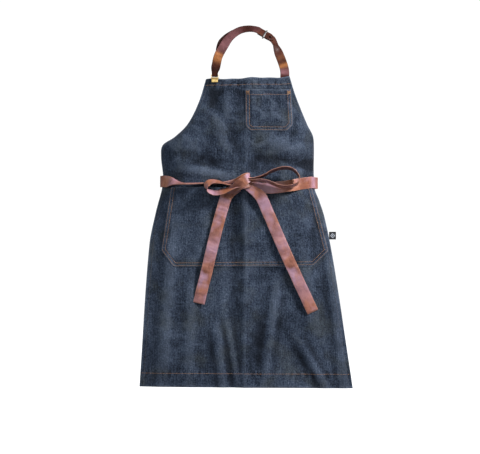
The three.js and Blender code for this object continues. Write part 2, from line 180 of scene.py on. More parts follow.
def rimOf(rows, columns):
    # the numbers of a grid's outer points, once round
    top, right = np.arange(columns), np.arange(1, rows) * columns + columns - 1
    bottom = (rows - 1) * columns + np.arange(columns - 2, -1, -1)
    left = np.arange(rows - 2, 0, -1) * columns
    return np.concatenate([top, right, bottom, left])


def place(piece, body, finish, replaces=()):
    # the body is a name, to which the piece is attached; when it is two names with two points, the piece
    # is attached to neither and its place is baked into its mesh
    piece.data.materials.append(finish)
    if isinstance(body, str):
        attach(piece, body)
    else:
        tuple(body[2] * mm)
        tuple(body[3] * mm)
        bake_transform(piece)
    if replaces:
        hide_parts(*replaces)
    return piece


class Value:
    # wraps a socket, so that arithmetic on it adds Math nodes
    def __init__(self, tree, socket):
        self.tree, self.socket = tree, socket

    def maths(self, operation, *values):
        node = self.tree.nodes.new("ShaderNodeMath")
        node.operation = operation
        for socket, value in zip(node.inputs, values):
            if isinstance(value, Value):
                self.tree.links.new(value.socket, socket)
            else:
                socket.default_value = value
        return Value(self.tree, node.outputs[0])

    def __add__(self, other):
        return self.maths("ADD", self, other)

    def __radd__(self, other):
        return self.maths("ADD", other, self)

    def __sub__(self, other):
        return self.maths("SUBTRACT", self, other)

    def __rsub__(self, other):
        return self.maths("SUBTRACT", other, self)

    def __mul__(self, other):
        return self.maths("MULTIPLY", self, other)

    def __rmul__(self, other):
        return self.maths("MULTIPLY", other, self)

    def __abs__(self):
        return self.maths("ABSOLUTE", self)

    def ranged(self, low, high):
        # 0 at low, 1 at high, held at both ends
        node = self.maths("SUBTRACT", self, low) * (1 / (high - low))
        node.socket.node.use_clamp = True
        return node


class Finish:
    # a material: node() adds any node, sets it up and joins its inputs
    def __init__(self, name, **surface):
        self.material = bpy.data.materials.new(name)
        self.material.use_nodes = True
        self.tree = self.material.node_tree
        self.shader = self.tree.nodes["Principled BSDF"]
        self.wear(**surface)

    def wear(self, **surface):
        for name, value in surface.items():
            self.join(self.shader.inputs[name.replace("_", " ")], value)

    def join(self, socket, value):
        if isinstance(value, Value):
            self.tree.links.new(value.socket, socket)
        else:
            socket.default_value = value

    def node(self, kind, settings=None, inputs=None, output=0):
        node = self.tree.nodes.new(kind)
        for key, value in (settings or {}).items():
            if key == "stops":
                ramp = node.color_ramp.elements
                while len(ramp) < len(value):
                    ramp.new(0.5)
                for stop, (at, colour) in zip(ramp, value):
                    stop.position, stop.color = at, (*colour, 1)
            else:
                setattr(node, key, value)
        for key, value in (inputs or {}).items():
            self.join(node.inputs[key], value)
        return Value(self.tree, node.outputs[output])

    def blend(self, share, a, b):
        a, b = [(*c, 1) if isinstance(c, tuple) and len(c) == 3 else c for c in (a, b)]
        return self.node("ShaderNodeMix", dict(data_type="RGBA"), {0: share, 6: a, 7: b}, output=2)

    def noise(self, vector, scale, detail, rough):
        inputs = {"Vector": vector, "Scale": scale, "Detail": detail, "Roughness": rough}
        return self.node("ShaderNodeTexNoise", None, inputs)

    def stretched(self, vector, x, y):
        return self.node("ShaderNodeMapping", None, {"Vector": vector, "Scale": (x, y, 1)})

    def moved(self, vector, x, y):
        return self.node("ShaderNodeMapping", None, {"Vector": vector, "Location": (x, y, 0)})

    def mark(self, name):
        return self.node("ShaderNodeAttribute", dict(attribute_name=name), output=2)

    def weave(self):
        return self.node("ShaderNodeUVMap", dict(uv_map="weave"))

    def bump(self, height, strength, distance, under=None):
        inputs = {"Height": height, "Strength": strength, "Distance": distance}
        if under is not None:
            inputs["Normal"] = under
        return self.node("ShaderNodeBump", None, inputs)


def denimFinish(name, seed):
    # twill with a dark indigo face and a paler wrong side, slubs along the warp, washed edges, and
    # painted highlight and painted shade laid in by a mark
    denim = dict(stops=[(0.0, (0.002, 0.004, 0.007)), (0.25, (0.010, 0.015, 0.025)),
                        (0.50, (0.032, 0.044, 0.069)), (0.78, (0.072, 0.095, 0.137)),
                        (1.0, (0.170, 0.205, 0.260))],
                 pale=(0.125, 0.155, 0.205), dark=(0.0025, 0.0035, 0.006), olive=(0.052, 0.057, 0.046),
                 wrong=(0.155, 0.175, 0.20), twillPitch=0.0016)
    cloth = Finish(name, Sheen_Weight=0.03, Sheen_Roughness=0.5, Specular_IOR_Level=0.06)
    at = cloth.moved(cloth.weave(), seed, seed * 0.7)
    broad = cloth.noise(at, 8.0, 3, 0.55).ranged(0.34, 0.66)
    patches = cloth.noise(at, 27, 5, 0.62).ranged(0.32, 0.68)
    slub = cloth.noise(cloth.stretched(at, 400, 22), 1, 3, 0.7).ranged(0.34, 0.68)
    fleck = cloth.noise(cloth.stretched(at, 230, 190), 1, 2, 0.8).ranged(0.36, 0.66)
    tint = cloth.noise(at, 13, 3, 0.5).ranged(0.50, 0.66)
    worn = cloth.mark("worn")
    shade = 0.18 * broad + 0.20 * patches + 0.38 * fleck + 0.28 * slub - 0.01
    tone = cloth.node("ShaderNodeValToRGB", dict(stops=denim["stops"]), {"Fac": shade})
    tone = cloth.blend(tint * (0.15 + 0.4 * fleck), tone, denim["olive"])
    # paler where edges are worn and as painted highlight on ridges and light patches; darker as painted
    # shade in hollows and dark patches
    tone = cloth.blend(worn.ranged(0.0, 1.0) * 0.55, tone, denim["pale"])
    tone = cloth.blend((worn * -1).ranged(0.0, 1.0) * 0.8, tone, denim["dark"])
    tone = cloth.blend(cloth.mark("wrongSide") * (0.45 + 0.35 * fleck), tone, denim["wrong"])
    twill = cloth.node("ShaderNodeTexWave", dict(wave_type="BANDS", bands_direction="DIAGONAL"),
                       {"Vector": at, "Scale": 0.5 / denim["twillPitch"], "Distortion": 1.2, "Detail": 2})
    rumple = cloth.bump(cloth.noise(at, 60, 3, 0.6), 0.6, 0.005)
    grain = cloth.bump(twill * 0.5 + fleck * 0.9 + slub * 0.5, 0.8, 0.0010, under=rumple)
    cloth.wear(Base_Color=tone, Normal=grain, Roughness=0.8 + 0.12 * patches)
    return cloth.material


def leatherFinish(name, tones, gloss, seed):
    # pull-up leather: a warm ground that clouds and darkens, pores, paler raw edges; painted reflection,
    # painted highlight and painted shade are laid into its colour
    hide = Finish(name, Specular_IOR_Level=tones["shine"], Coat_Roughness=0.32, Coat_IOR=1.5)
    at = hide.moved(hide.weave(), seed, seed * 0.6)
    cloud = hide.noise(at, 34, 4, 0.6).ranged(0.34, 0.66)
    streak = hide.noise(hide.stretched(at, 50, 260), 1, 4, 0.65).ranged(0.36, 0.68)
    reflectionTint = hide.noise(at, 19, 2, 0.5).ranged(0.48, 0.64)
    rub = hide.noise(hide.stretched(at, 26, 70), 1, 3, 0.55).ranged(0.52, 0.68)
    tone = hide.blend(cloud, tones["deep"], tones["body"])
    tone = hide.blend(streak * 0.35, tone, tones["light"])
    # painted reflection: mauve patches in the colour stand in for the sky reflected in the gloss
    tone = hide.blend(reflectionTint * tones["reflectionShare"], tone, tones["reflectionTint"])
    tone = hide.blend(rub * tones["rubShare"], tone, tones["rub"])
    # painted reflection, painted highlight and painted shade where each strap's tints place them
    tone = hide.blend(hide.mark("misted") * (0.55 + 0.4 * cloud), tone, tones["reflectionTint"])
    # painted highlight in the rubbed tone, where the tints place it
    tone = hide.blend(hide.mark("rubbed") * (0.55 + 0.4 * streak), tone, tones["rub"])
    tone = hide.blend(hide.mark("shaded") * 0.8, tone, tones["deep"])
    tone = hide.blend(hide.mark("flesh") * 0.75, tone, tones["flesh"])
    tone = hide.blend(hide.mark("edge") * 0.8, tone, tones["edge"])
    pores = hide.node("ShaderNodeTexVoronoi", dict(feature="DISTANCE_TO_EDGE"),
                      {"Vector": at, "Scale": 900})
    swells = hide.bump(hide.noise(hide.stretched(at, 75, 45), 1, 2, 0.5), 0.5, 0.004)
    skin = pores.ranged(0.0, 0.12) * 0.4 + streak * 0.6 + cloud * 0.8
    grain = hide.bump(skin, 0.35, 0.0006, under=swells)
    hide.wear(Base_Color=tone, Normal=grain)
    hide.wear(Roughness=gloss + 0.16 * streak, Coat_Weight=tones["coat"] * (0.10 + 0.30 * cloud))
    return hide.material


def metalFinish(name, colour, rough, seed):
    metal = Finish(name, Metallic=1.0)
    at = metal.node("ShaderNodeTexCoord", output=3)
    brushed = metal.node("ShaderNodeMapping", None, {"Vector": at, "Scale": (500, 500, 2600)})
    scuff = metal.noise(brushed, 1, 4, 0.6)
    blot = metal.noise(at, 160 + seed, 3, 0.6).ranged(0.35, 0.75)
    tone = metal.blend(blot * 0.35, colour, tuple(c * 0.62 for c in colour))
    metal.wear(Base_Color=tone, Normal=metal.bump(scuff, 0.12, 0.0002))
    metal.wear(Roughness=rough + 0.18 * scuff.ranged(0.3, 0.8))
    return metal.material


def threadFinish(name, colour):
    thread = Finish(name, Roughness=0.62, Sheen_Weight=0.3, Specular_IOR_Level=0.35)
    at = thread.node("ShaderNodeTexCoord", output=3)
    shade = thread.noise(at, 90, 3, 0.6).ranged(0.3, 0.7)
    ply = thread.noise(at, 2600, 1, 0.5)
    tone = thread.blend(shade, tuple(c * 0.55 for c in colour), colour)
    thread.wear(Base_Color=tone, Normal=thread.bump(ply, 0.4, 0.0002))
    return thread.material


def labelFinish(name):
    # black woven tape with a plain generic mark, a diamond outline, in pale grey yarn
    mark = dict(across=0.0100, up=0.0110, reach=0.0058, line=(0.0009, 0.0014), heart=(0.0018, 0.0023))
    tape = Finish(name, Roughness=0.7, Sheen_Weight=0.2, Specular_IOR_Level=0.3)
    at = tape.weave()
    across = tape.node("ShaderNodeSeparateXYZ", None, {0: at})
    up = tape.node("ShaderNodeSeparateXYZ", None, {0: at}, output=1)
    away = abs(across - mark["across"]) + abs(up - mark["up"])
    outline = 1 - abs(away - mark["reach"]).ranged(*mark["line"])
    middle = 1 - away.ranged(*mark["heart"])
    yarn = tape.noise(tape.stretched(at, 2600, 900), 1, 2, 0.6)
    tone = tape.blend(outline.maths("MAXIMUM", outline, middle), (0.010, 0.011, 0.013),
                      (0.42, 0.45, 0.50))
    tape.wear(Base_Color=tone, Normal=tape.bump(yarn, 0.5, 0.0003))
    return tape.material


denimPanelFinish = denimFinish("denim", 0.0)
denimPocketFinish = denimFinish("pocketDenim", 3.1)
tieTones = dict(body=(0.31, 0.112, 0.070), deep=(0.11, 0.030, 0.018), light=(0.42, 0.195, 0.135),
                reflectionTint=(0.37, 0.225, 0.31), rub=(0.36, 0.130, 0.046), flesh=(0.055, 0.017, 0.010),
                edge=(0.34, 0.16, 0.115), reflectionShare=0.7, rubShare=0.5, shine=0.4, coat=0.7)
neckTones = dict(body=(0.046, 0.0085, 0.0032), deep=(0.013, 0.003, 0.0015), light=(0.080, 0.018, 0.007),
                 reflectionTint=(0.25, 0.110, 0.120), rub=(0.38, 0.145, 0.045), flesh=(0.045, 0.011, 0.005),
                 edge=(0.030, 0.009, 0.006), reflectionShare=0.06, rubShare=0.06, shine=0.10, coat=0.25)
tieFinish = leatherFinish("tieLeather", tieTones, 0.38, 1.3)
neckFinish = leatherFinish("neckLeather", neckTones, 0.46, 5.2)
brassFinish = metalFinish("polishedBrass", (0.86, 0.62, 0.24), 0.40, 0)
steelFinish = metalFinish("nickelWire", (0.72, 0.71, 0.69), 0.2, 7)
studFinish = metalFinish("darkStud", (0.055, 0.030, 0.024), 0.3, 3)
denimThread = threadFinish("orangeThread", (0.40, 0.200, 0.080))
leatherThread = threadFinish("brownThread", (0.30, 0.10, 0.05))
darkThread = threadFinish("darkThread", (0.075, 0.075, 0.085))
print("apron: finishes made")


cut = dict(bibTop=-129.0, hemLine=-985.0, waistLine=-412.0, leftTurn=50.0, rightTurn=80.0, turnSpan=150.0,
           hemFlare=12.0, sideArc=math.pi / 4, thickness=1.0, foldThickness=1.2, layerGap=0.25,
           topHem=18.0, sideHem=14.0, bottomHem=38.0)
leftEdge = through([(-129, -112), (-195, -132), (-255, -163), (-291, -200), (-312, -232), (-340, -238),
                    (-415, -233), (-499, -252), (-590, -269), (-985, -296)])
rightEdge = through([(-129, 119), (-181, 137), (-257, 169), (-284, 184), (-305, 188), (-430, 191),
                     (-467, 204), (-514, 218), (-634, 240), (-985, 294)])
centreLine = straight([(-129, 4), (-420, -4), (-985, -6)])


def reach(s, z):
    # half the cloth's width on the side of s
    return np.where(s < 0, centreLine(z) - leftEdge(z), rightEdge(z) - centreLine(z))


def drawnBack(s, z):
    # how far a side is drawn back by the ties: a bell curve of the height about the waist
    most = np.where(s < 0, cut["leftTurn"], cut["rightTurn"])
    return most * np.exp(-((z - cut["waistLine"]) / cut["turnSpan"]) ** 2)


def clothFlat(s, z):
    # s runs from side to side and z is the height; the sides are drawn back as the fifth power of s
    turn = drawnBack(s, z) + cut["hemFlare"] * smooth(-z, -cut["waistLine"], -cut["hemLine"])
    x = centreLine(z) + reach(s, z) * np.sin(s * cut["sideArc"]) / math.sin(cut["sideArc"])
    tilt = 3.5 * s * np.exp((z - cut["bibTop"]) / 40) - 2.5 * s * np.exp((cut["hemLine"] - z) / 120)
    wave = topWave(x) * np.exp((z - cut["bibTop"]) / 16)
    return np.stack([x, turn * np.abs(s) ** 5, z + tilt + wave], -1)


def topWave(x):
    # the bib's top edge rises and falls as the sum of two sines
    return 1.3 * np.sin(x / 19.0 + 0.6) + 0.8 * np.sin(x / 8.5)


def acrossAt(x, z):
    # the s of a place on the cloth, the sine in clothFlat taken back
    z = np.asarray(z, float)
    share = (x - centreLine(z)) / reach(x - centreLine(z), z)
    return np.arcsin(np.clip(share, -1, 1) * math.sin(cut["sideArc"])) / cut["sideArc"]


# Each fold runs from its top to its foot as (x, z), with its width and how far it stands forward
skirtFolds = [
    dict(top=(84, -700), foot=(48, -960), wide=16, high=7.8),
    dict(top=(140, -850), foot=(222, -990), wide=15, high=7.0),
    dict(top=(-84, -810), foot=(-66, -990), wide=15, high=6.2),
    dict(top=(-52, -800), foot=(-24, -985), wide=11, high=4.0),
    dict(top=(-205, -520), foot=(-235, -990), wide=24, high=7.0),
    dict(top=(-150, -660), foot=(-160, -990), wide=20, high=5.0),
    dict(top=(150, -560), foot=(190, -830), wide=24, high=5.4),
    dict(top=(230, -640), foot=(272, -990), wide=16, high=6.2),
    dict(top=(-120, -445), foot=(-125, -640), wide=26, high=3.1),
    dict(top=(95, -450), foot=(112, -640), wide=28, high=3.7),
]
bibFolds = [
    dict(top=(-96, -165), foot=(-20, -335), wide=20, high=-5.0),
    dict(top=(-50, -150), foot=(-70, -300), wide=22, high=3.7),
    dict(top=(30, -290), foot=(178, -330), wide=22, high=4.7),
    dict(top=(20, -345), foot=(186, -372), wide=20, high=-5.6),
    dict(top=(-215, -330), foot=(-60, -372), wide=20, high=-5.3),
    dict(top=(-200, -380), foot=(-40, -398), wide=14, high=4.3),
    dict(top=(142, -215), foot=(120, -330), wide=16, high=-3.4),
]


def foldRelief(fold, x, z):
    # a round ridge along a line, fading at both ends
    (x0, z0), (x1, z1) = fold["top"], fold["foot"]
    length = math.hypot(x1 - x0, z1 - z0)
    ux, uz = (x1 - x0) / length, (z1 - z0) / length
    along = (x - x0) * ux + (z - z0) * uz
    off = (x - x0) * uz - (z - z0) * ux
    fade = smooth(along, -0.2 * length, 0.3 * length) * (1 - smooth(along, 0.75 * length, 1.2 * length))
    return 1.25 * fold["high"] * np.exp(-(off / fold["wide"]) ** 2) * fade


def relief(x, z):
    # how far the cloth stands forward: the pressed crease, the folds and a slow crumple
    crease = dict(bib=4.5, skirt=11.0, left=17.0, right=42.0)
    high = mixed(crease["bib"], crease["skirt"], smooth(-z, 400, 500)) * (1 - 0.30 * smooth(-z, 620, 760))
    high = high * (1 + 0.45 * smooth(-z, 800, 960)) * (0.55 + 0.45 * smooth(-z, 129, 160))
    off = x - centreLine(z) - 1.2 * np.sin(z / 60.0)
    far = np.hypot(off, 1.6) / np.where(off < 0, crease["left"], crease["right"])
    out = high * (np.exp(-far) - 0.35 * np.exp(-((off + 34) / 20) ** 2))
    for fold in skirtFolds + bibFolds:
        out = out + foldRelief(fold, x, z)
    bib = smooth(z, -430, -380)
    out = out + crumple(x * 0.8, z, 105, 3) * mixed(1.3, 2.3, bib)
    swell = crumple(x * 0.6, z * 1.1, 52, 11)
    out = out + (0.5 - np.abs(swell)) * mixed(0.30, 0.85, bib)
    out = out + crumple(x * 0.7, z, 24, 5) * mixed(0.10, 0.20, bib)
    pucker = np.sin(x / 3.3 + crumple(x, z, 60, 8)) * 0.35
    nearTop = np.exp(-((z - cut["bibTop"] + cut["topHem"]) / 9) ** 2)
    nearHem = np.exp(-((z - cut["hemLine"] - cut["bottomHem"] + 1) / 12) ** 2)
    out = out + pucker * (nearTop + nearHem) + 1.2 * np.sin(x / 17.0) * np.exp((z - cut["bibTop"]) / 26)
    return out


def foldHighlightAndShade(x, z):
    # painted highlight and painted shade, with some wear on the ridges: paler where the cloth stands
    # above its surroundings, darker where it lies below them
    step = 7.0
    around = relief(x - step, z) + relief(x + step, z) + relief(x, z - step) + relief(x, z + step)
    return np.clip(0.36 * (4 * relief(x, z) - around), -0.8, 0.28)


# Patches of painted shade (below nought) and painted light (above nought)
shadeAndLightPatches = [
    dict(x=-90, z=-165, wide=24, tall=38, lift=-1.0),
    dict(x=-14, z=-215, wide=17, tall=62, lift=-0.45),
    dict(x=178, z=-365, wide=28, tall=66, lift=-1.0),
    dict(x=40, z=-364, wide=44, tall=24, lift=-0.75),
    dict(x=-105, z=-345, wide=50, tall=16, lift=-0.5),
    dict(x=100, z=-500, wide=42, tall=30, lift=-0.45),
    dict(x=196, z=-540, wide=16, tall=75, lift=-0.55),
    dict(x=-22, z=-720, wide=16, tall=110, lift=-0.3),
    dict(x=30, z=-845, wide=26, tall=50, lift=-0.9),
    dict(x=-95, z=-880, wide=30, tall=60, lift=-0.3),
    dict(x=150, z=-900, wide=40, tall=50, lift=-0.3),
    dict(x=-165, z=-285, wide=34, tall=26, lift=0.3),
    dict(x=-85, z=-395, wide=60, tall=18, lift=0.35),
    dict(x=80, z=-315, wide=60, tall=14, lift=0.35),
    dict(x=-60, z=-235, wide=26, tall=40, lift=0.3),
    dict(x=60, z=-225, wide=42, tall=34, lift=0.2),
    dict(x=14, z=-620, wide=14, tall=150, lift=0.22),
    dict(x=60, z=-760, wide=20, tall=70, lift=0.25),
    dict(x=-190, z=-760, wide=36, tall=150, lift=0.22),
]


def patchShadeAndLight(x, z):
    # each patch is a bell curve in both directions, its outline broken by a crumple
    x, z = x + crumple(x, z, 40, 17) * 9, z + crumple(x, z, 45, 19) * 12
    out = 0.0
    for patch in shadeAndLightPatches:
        off = ((x - patch["x"]) / patch["wide"]) ** 2 + ((z - patch["z"]) / patch["tall"]) ** 2
        out = out + patch["lift"] * np.exp(-off)
    return out


def clothAt(s, z):
    p = clothFlat(s, z)
    p[..., 1] -= relief(p[..., 0], z)
    return p


def cloth(s, z, out):
    # a point of the cloth, moved out to the front square to it
    s, z = np.broadcast_arrays(np.asarray(s, float), np.asarray(z, float))
    across = clothAt(s + 0.004, z) - clothAt(s - 0.004, z)
    up = clothAt(s, z + 1) - clothAt(s, z - 1)
    front = unit(np.cross(across, up))
    return clothAt(s, z) + front * np.asarray(out, float)[..., None], front


def threadlines(s, z):
    # distance along the weft from the centre line, and along the warp, for the weave's own map
    far = np.abs(s)
    return np.stack([np.sign(s) * (far * reach(s, z) + 0.8 * drawnBack(s, z) * far ** 5), z], -1)


def inFrom(side, z, width):
    # the s of a line that keeps this distance from one side, along the cloth
    full = np.full_like(z, side)
    step = np.linalg.norm(clothFlat(full, z) - clothFlat(full * 0.95, z), axis=-1) / 0.05
    return side * (1 - width / step)


def makeLayer(name, s, z, out, thickness, worn=None, wrongOut=True):
    # a closed sheet of cloth on a grid of s and z: a face, a back and a round edge between them
    rows, columns = s.shape
    face, _ = cloth(s, z, out + thickness / 2)
    back, _ = cloth(s, z, out - thickness / 2)
    ring = rimOf(rows, columns)
    middle = (face + back) / 2
    inner = np.empty_like(middle)
    inner[1:-1, 1:-1] = middle[1:-1, 1:-1]
    inner[[0, -1]] = middle[[1, -2]]
    inner[:, [0, -1]] = middle[:, [1, -2]]
    edge = middle.reshape(-1, 3)[ring]
    edge = edge + unit(edge - inner.reshape(-1, 3)[ring]) * thickness * 0.45
    count, turned = rows * columns, np.roll(np.arange(len(ring)), -1)
    rim = 2 * count + np.arange(len(ring))
    frontRim = np.stack([ring, ring[turned], rim[turned], rim], -1)
    backRim = np.stack([rim, rim[turned], count + ring[turned], count + ring], -1)
    quads = np.vstack([gridQuads(rows, columns), gridQuads(rows, columns, count, flip=True), frontRim,
                       backRim])
    points = hung(np.vstack([face.reshape(-1, 3), back.reshape(-1, 3), edge]))
    uv = threadlines(s, z).reshape(-1, 2)
    worn = np.zeros(s.shape) if worn is None else np.broadcast_to(worn, s.shape)
    worn = np.concatenate([worn.ravel(), worn.ravel(), worn.ravel()[ring] + 0.3])
    sides = np.concatenate([np.zeros(count), np.ones(count), np.full(len(ring), 0.3)])
    if not wrongOut:
        sides = 1 - sides
    return meshOf(name, points, quads, np.vstack([uv, uv, uv[ring]]), dict(worn=worn, wrongSide=sides))


def rowsAndColumns(rows, columns):
    return np.meshgrid(np.linspace(0, 1, rows), np.linspace(-1, 1, columns), indexing="ij")


def makePanel():
    grid = dict(rows=262, columns=172)
    v, c = rowsAndColumns(grid["rows"], grid["columns"])
    s, z = c * (1.35 - 0.35 * c * c), mixed(cut["bibTop"], cut["hemLine"], v)
    fromSide = (1 - np.abs(s)) * reach(s, z)
    worn = np.exp(-fromSide / 3.0) + np.exp(-(cut["bibTop"] - z) / 2.5)
    worn = worn + np.exp(-(z - cut["hemLine"]) / 3.0)
    x = clothFlat(s, z)[..., 0]
    # wear along the edges, plus painted highlight and painted shade from the folds and from the patches
    worn = np.clip(worn + foldHighlightAndShade(x, z) + patchShadeAndLight(x, z), -1, 1.2)
    panel = makeLayer("denim_panel_cloth", s, z, np.zeros(s.shape), cut["thickness"], worn)
    return place(panel, "apron_body", denimPanelFinish, ["denim_panel"])


def makeHems():
    # the pressed hems behind the panel, wrong side in, so the face side shows on them
    behind = -(cut["thickness"] + cut["foldThickness"]) / 2 - cut["layerGap"]
    bibFoot = cut["bibTop"] - cut["topHem"]
    hemTop = cut["hemLine"] + cut["bottomHem"]
    pieces = []

    def hem(name, node, s, z):
        out = np.full(s.shape, behind)
        sheet = makeLayer(name, s, z, out, cut["foldThickness"], 0.35 * np.ones(s.shape), wrongOut=False)
        pieces.append(place(sheet, "apron_body", denimPanelFinish, [node]))

    v, c = rowsAndColumns(7, 120)
    hem("top_hem_fold", "top_hem", c * 0.992, mixed(cut["bibTop"] - 0.3, bibFoot, v))
    v, c = rowsAndColumns(10, 150)
    hem("bottom_hem_fold", "bottom_hem", c * 0.996, mixed(hemTop, cut["hemLine"] + 0.3, v))
    for word, side, foot in (("left", -1.0, -318.0), ("right", 1.0, -294.0)):
        for name, node, high, low, rows in (
                (f"{word}_armhole_binding", f"{word}_armhole_facing", bibFoot - 1, foot + 1, 60),
                (f"{word}_side_fold", f"{word}_side_hem", foot - 1, hemTop + 1, 170)):
            v, c = rowsAndColumns(rows, 6)
            z = mixed(high, low, v)
            s = mixed(side * 0.997, inFrom(side, z, cut["sideHem"]), (1 + c * side * -1) / 2)
            hem(name, node, s, z)
    return pieces


def eased(points, radius):
    # each corner cut back by the same distance and rounded
    p = np.array(points, float)
    line = [p[0]]
    for before, corner, after in zip(p[:-2], p[1:-1], p[2:]):
        a, b = corner + unit(before - corner) * radius, corner + unit(after - corner) * radius
        for t in np.linspace(0, 1, 5):
            line.append((1 - t) ** 2 * a + 2 * t * (1 - t) * corner + t * t * b)
    return np.array(line + [p[-1]])


# Pocket outlines run from the top left round the bottom to the top right, as (x, z)
chestPocket = dict(name="chest_pocket", top=-162.0, lift=6.0, mouthHem=13.0, rows=60, columns=66, seed=21,
                   tacks=True,
                   outline=eased([(-3, -162), (-2.5, -261), (10.5, -274.5), (111, -275.5), (128, -257),
                                  (123, -162)], 5))
waistPocket = dict(name="waist_pocket", top=-431.5, lift=6.0, mouthHem=14.0, rows=74, columns=150,
                   seed=34, tacks=False,
                   outline=eased([(-209, -431.5), (-235, -606), (-202, -651.5), (185, -648), (227, -608),
                                  (182, -431.5)], 4))


def pocketSides(pocket):
    # the x of the left side and of the right side as functions of the height, and the lowest height
    line = pocket["outline"]
    half = len(line) // 2
    leftSide, rightSide = (straight([(b, a) for a, b in side]) for side in (line[:half], line[half:]))
    return leftSide, rightSide, line[:, 1].min()


def pocketPlace(pocket, x, z):
    # how far across and down the pocket a point is, and how wide the pocket is there
    leftSide, rightSide, bottom = pocketSides(pocket)
    wide = rightSide(z) - leftSide(z)
    return np.clip((x - leftSide(z)) / wide, 0, 1), (pocket["top"] - z) / (pocket["top"] - bottom), wide


def pocketRise(pocket, x, z):
    # flat at the three seams, standing off at the mouth, with a few soft swells between
    u, v, wide = pocketPlace(pocket, x, z)
    side = np.minimum(u, 1 - u)
    rise = smooth(side, 0.0, 0.16) * (1 - smooth(v, 0.0, 0.85)) * pocket["lift"]
    swell = crumple(x, z, 42, pocket["seed"]) * 0.5 * smooth(side * wide, 0, 14)
    return 1.2 + rise + swell * (1 - 0.6 * v)


def makePocket(pocket, finish):
    v, c = rowsAndColumns(pocket["rows"], pocket["columns"])
    u = (c * (1.25 - 0.25 * c * c) + 1) / 2
    leftSide, rightSide, bottom = pocketSides(pocket)
    z = mixed(pocket["top"], bottom, v * (1.12 - 0.12 * v))
    x = mixed(leftSide(z), rightSide(z), u)
    side = np.minimum(u, 1 - u) * (rightSide(z) - leftSide(z))
    rubbed = sum(0.8 * np.exp(-off / 2.2) for off in (side, pocket["top"] - z, z - bottom))
    # painted shade in a band just inside the inner row of stitches
    shadeInsideRows = -0.5 * np.exp(-((side - 14) / 4) ** 2) * (side > 10)
    worn = np.clip(rubbed + foldHighlightAndShade(x, z) + patchShadeAndLight(x, z) + shadeInsideRows, -1, 1.2)
    rise = pocketRise(pocket, x, z)
    sheet = makeLayer(pocket["name"] + "_cloth", acrossAt(x, z), z, rise, cut["thickness"] + 0.3, worn)
    place(sheet, "apron_body", finish, [pocket["name"]])

    v, c = rowsAndColumns(8, pocket["columns"])
    z = mixed(pocket["top"] - 0.4, pocket["top"] - pocket["mouthHem"], v)
    x = mixed(leftSide(z), rightSide(z), (c * 0.94 + 1) / 2)
    inside = np.maximum(pocketRise(pocket, x, z) - 1.3, cut["thickness"] / 2 + 0.5)
    lining = makeLayer(pocket["name"] + "_mouth_hem", acrossAt(x, z), z, inside, 0.8, wrongOut=False)
    place(lining, "apron_body", finish, [pocket["name"] + "_hem"])
    return sheet, lining


def inset(points, distance):
    # the same line moved to its left, corners mitred
    p = np.array(points, float)
    run = unit(np.diff(p, axis=0))
    normal = np.stack([-run[:, 1], run[:, 0]], -1)
    corner = np.vstack([normal[:1], unit(normal[:-1] + normal[1:]), normal[-1:]])
    square = np.concatenate([[1.0], np.sum(corner[1:-1] * normal[1:], -1), [1.0]])
    return p + corner * (distance / square)[:, None]


def evenly(points, pitch):
    # points at an even pitch along a line, in any number of dimensions
    length = np.concatenate([[0], np.cumsum(np.linalg.norm(np.diff(points, axis=0), axis=1))])
    at = np.arange(pitch / 2, length[-1], pitch)
    return np.stack([np.interp(at, length, points[:, k]) for k in range(points.shape[1])], -1)


def stitches(places, along, up, length, thick):
    # one stitch is a six-sided bead drawn out along the seam; all of a seam's are one array
    ring = np.arange(6) * math.pi / 3
    stations = [(-0.5, 0.4), (-0.3, 1.0), (0.3, 1.0), (0.5, 0.4)]
    radius = thick / 2
    bead = np.array([[a * length, r * radius * math.cos(t), r * radius * math.sin(t)]
                     for a, r in stations for t in ring])
    side = np.cross(along, up)
    points = (places[:, None, :] + bead[None, :, 0:1] * along[:, None, :]
              + bead[None, :, 1:2] * side[:, None, :]
              + bead[None, :, 2:3] * up[:, None, :])
    a = np.arange(3)[:, None] * 6 + np.arange(6)[None, :]
    b = np.arange(3)[:, None] * 6 + (np.arange(6)[None, :] + 1) % 6
    wall = np.stack([a, b, b + 6, a + 6], -1).reshape(-1, 4)
    caps = np.array([[3, 2, 1, 0], [5, 4, 3, 0], [18, 19, 20, 21], [18, 21, 22, 23]])
    bead = np.vstack([wall, caps])
    quads = (np.arange(len(places)) * 24)[:, None, None] + bead[None]
    return points.reshape(-1, 3), quads.reshape(-1, 4)


def seam(line, out, pitch=4.1, length=3.0):
    # stitches along a line of (x, z) on the cloth, standing out by the given function of x and z
    fine = evenly(np.array(line, float), 1.5)
    s = acrossAt(fine[:, 0], fine[:, 1])
    surface, front = cloth(s, fine[:, 1], out(fine[:, 0], fine[:, 1]))
    spots = evenly(np.hstack([hung(surface), front]), pitch)
    run = unit(np.gradient(spots[:, :3], axis=0))
    return stitches(spots[:, :3], run, unit(spots[:, 3:]), length, 0.85)


def sewn(name, seams, body, finish):
    # all the rows of one piece as one mesh
    points, quads, total = [], [], 0
    for p, q in seams:
        points.append(p)
        quads.append(q + total)
        total += len(p)
    return place(meshOf(name, np.vstack(points), np.vstack(quads)), body, finish)


def edgeSeam(side, high, low, width):
    # a line along one side of the cloth, as (x, z)
    z = np.linspace(high, low, 160)
    s = inFrom(side, z, width)
    return np.stack([clothFlat(s, z)[:, 0], z], -1)


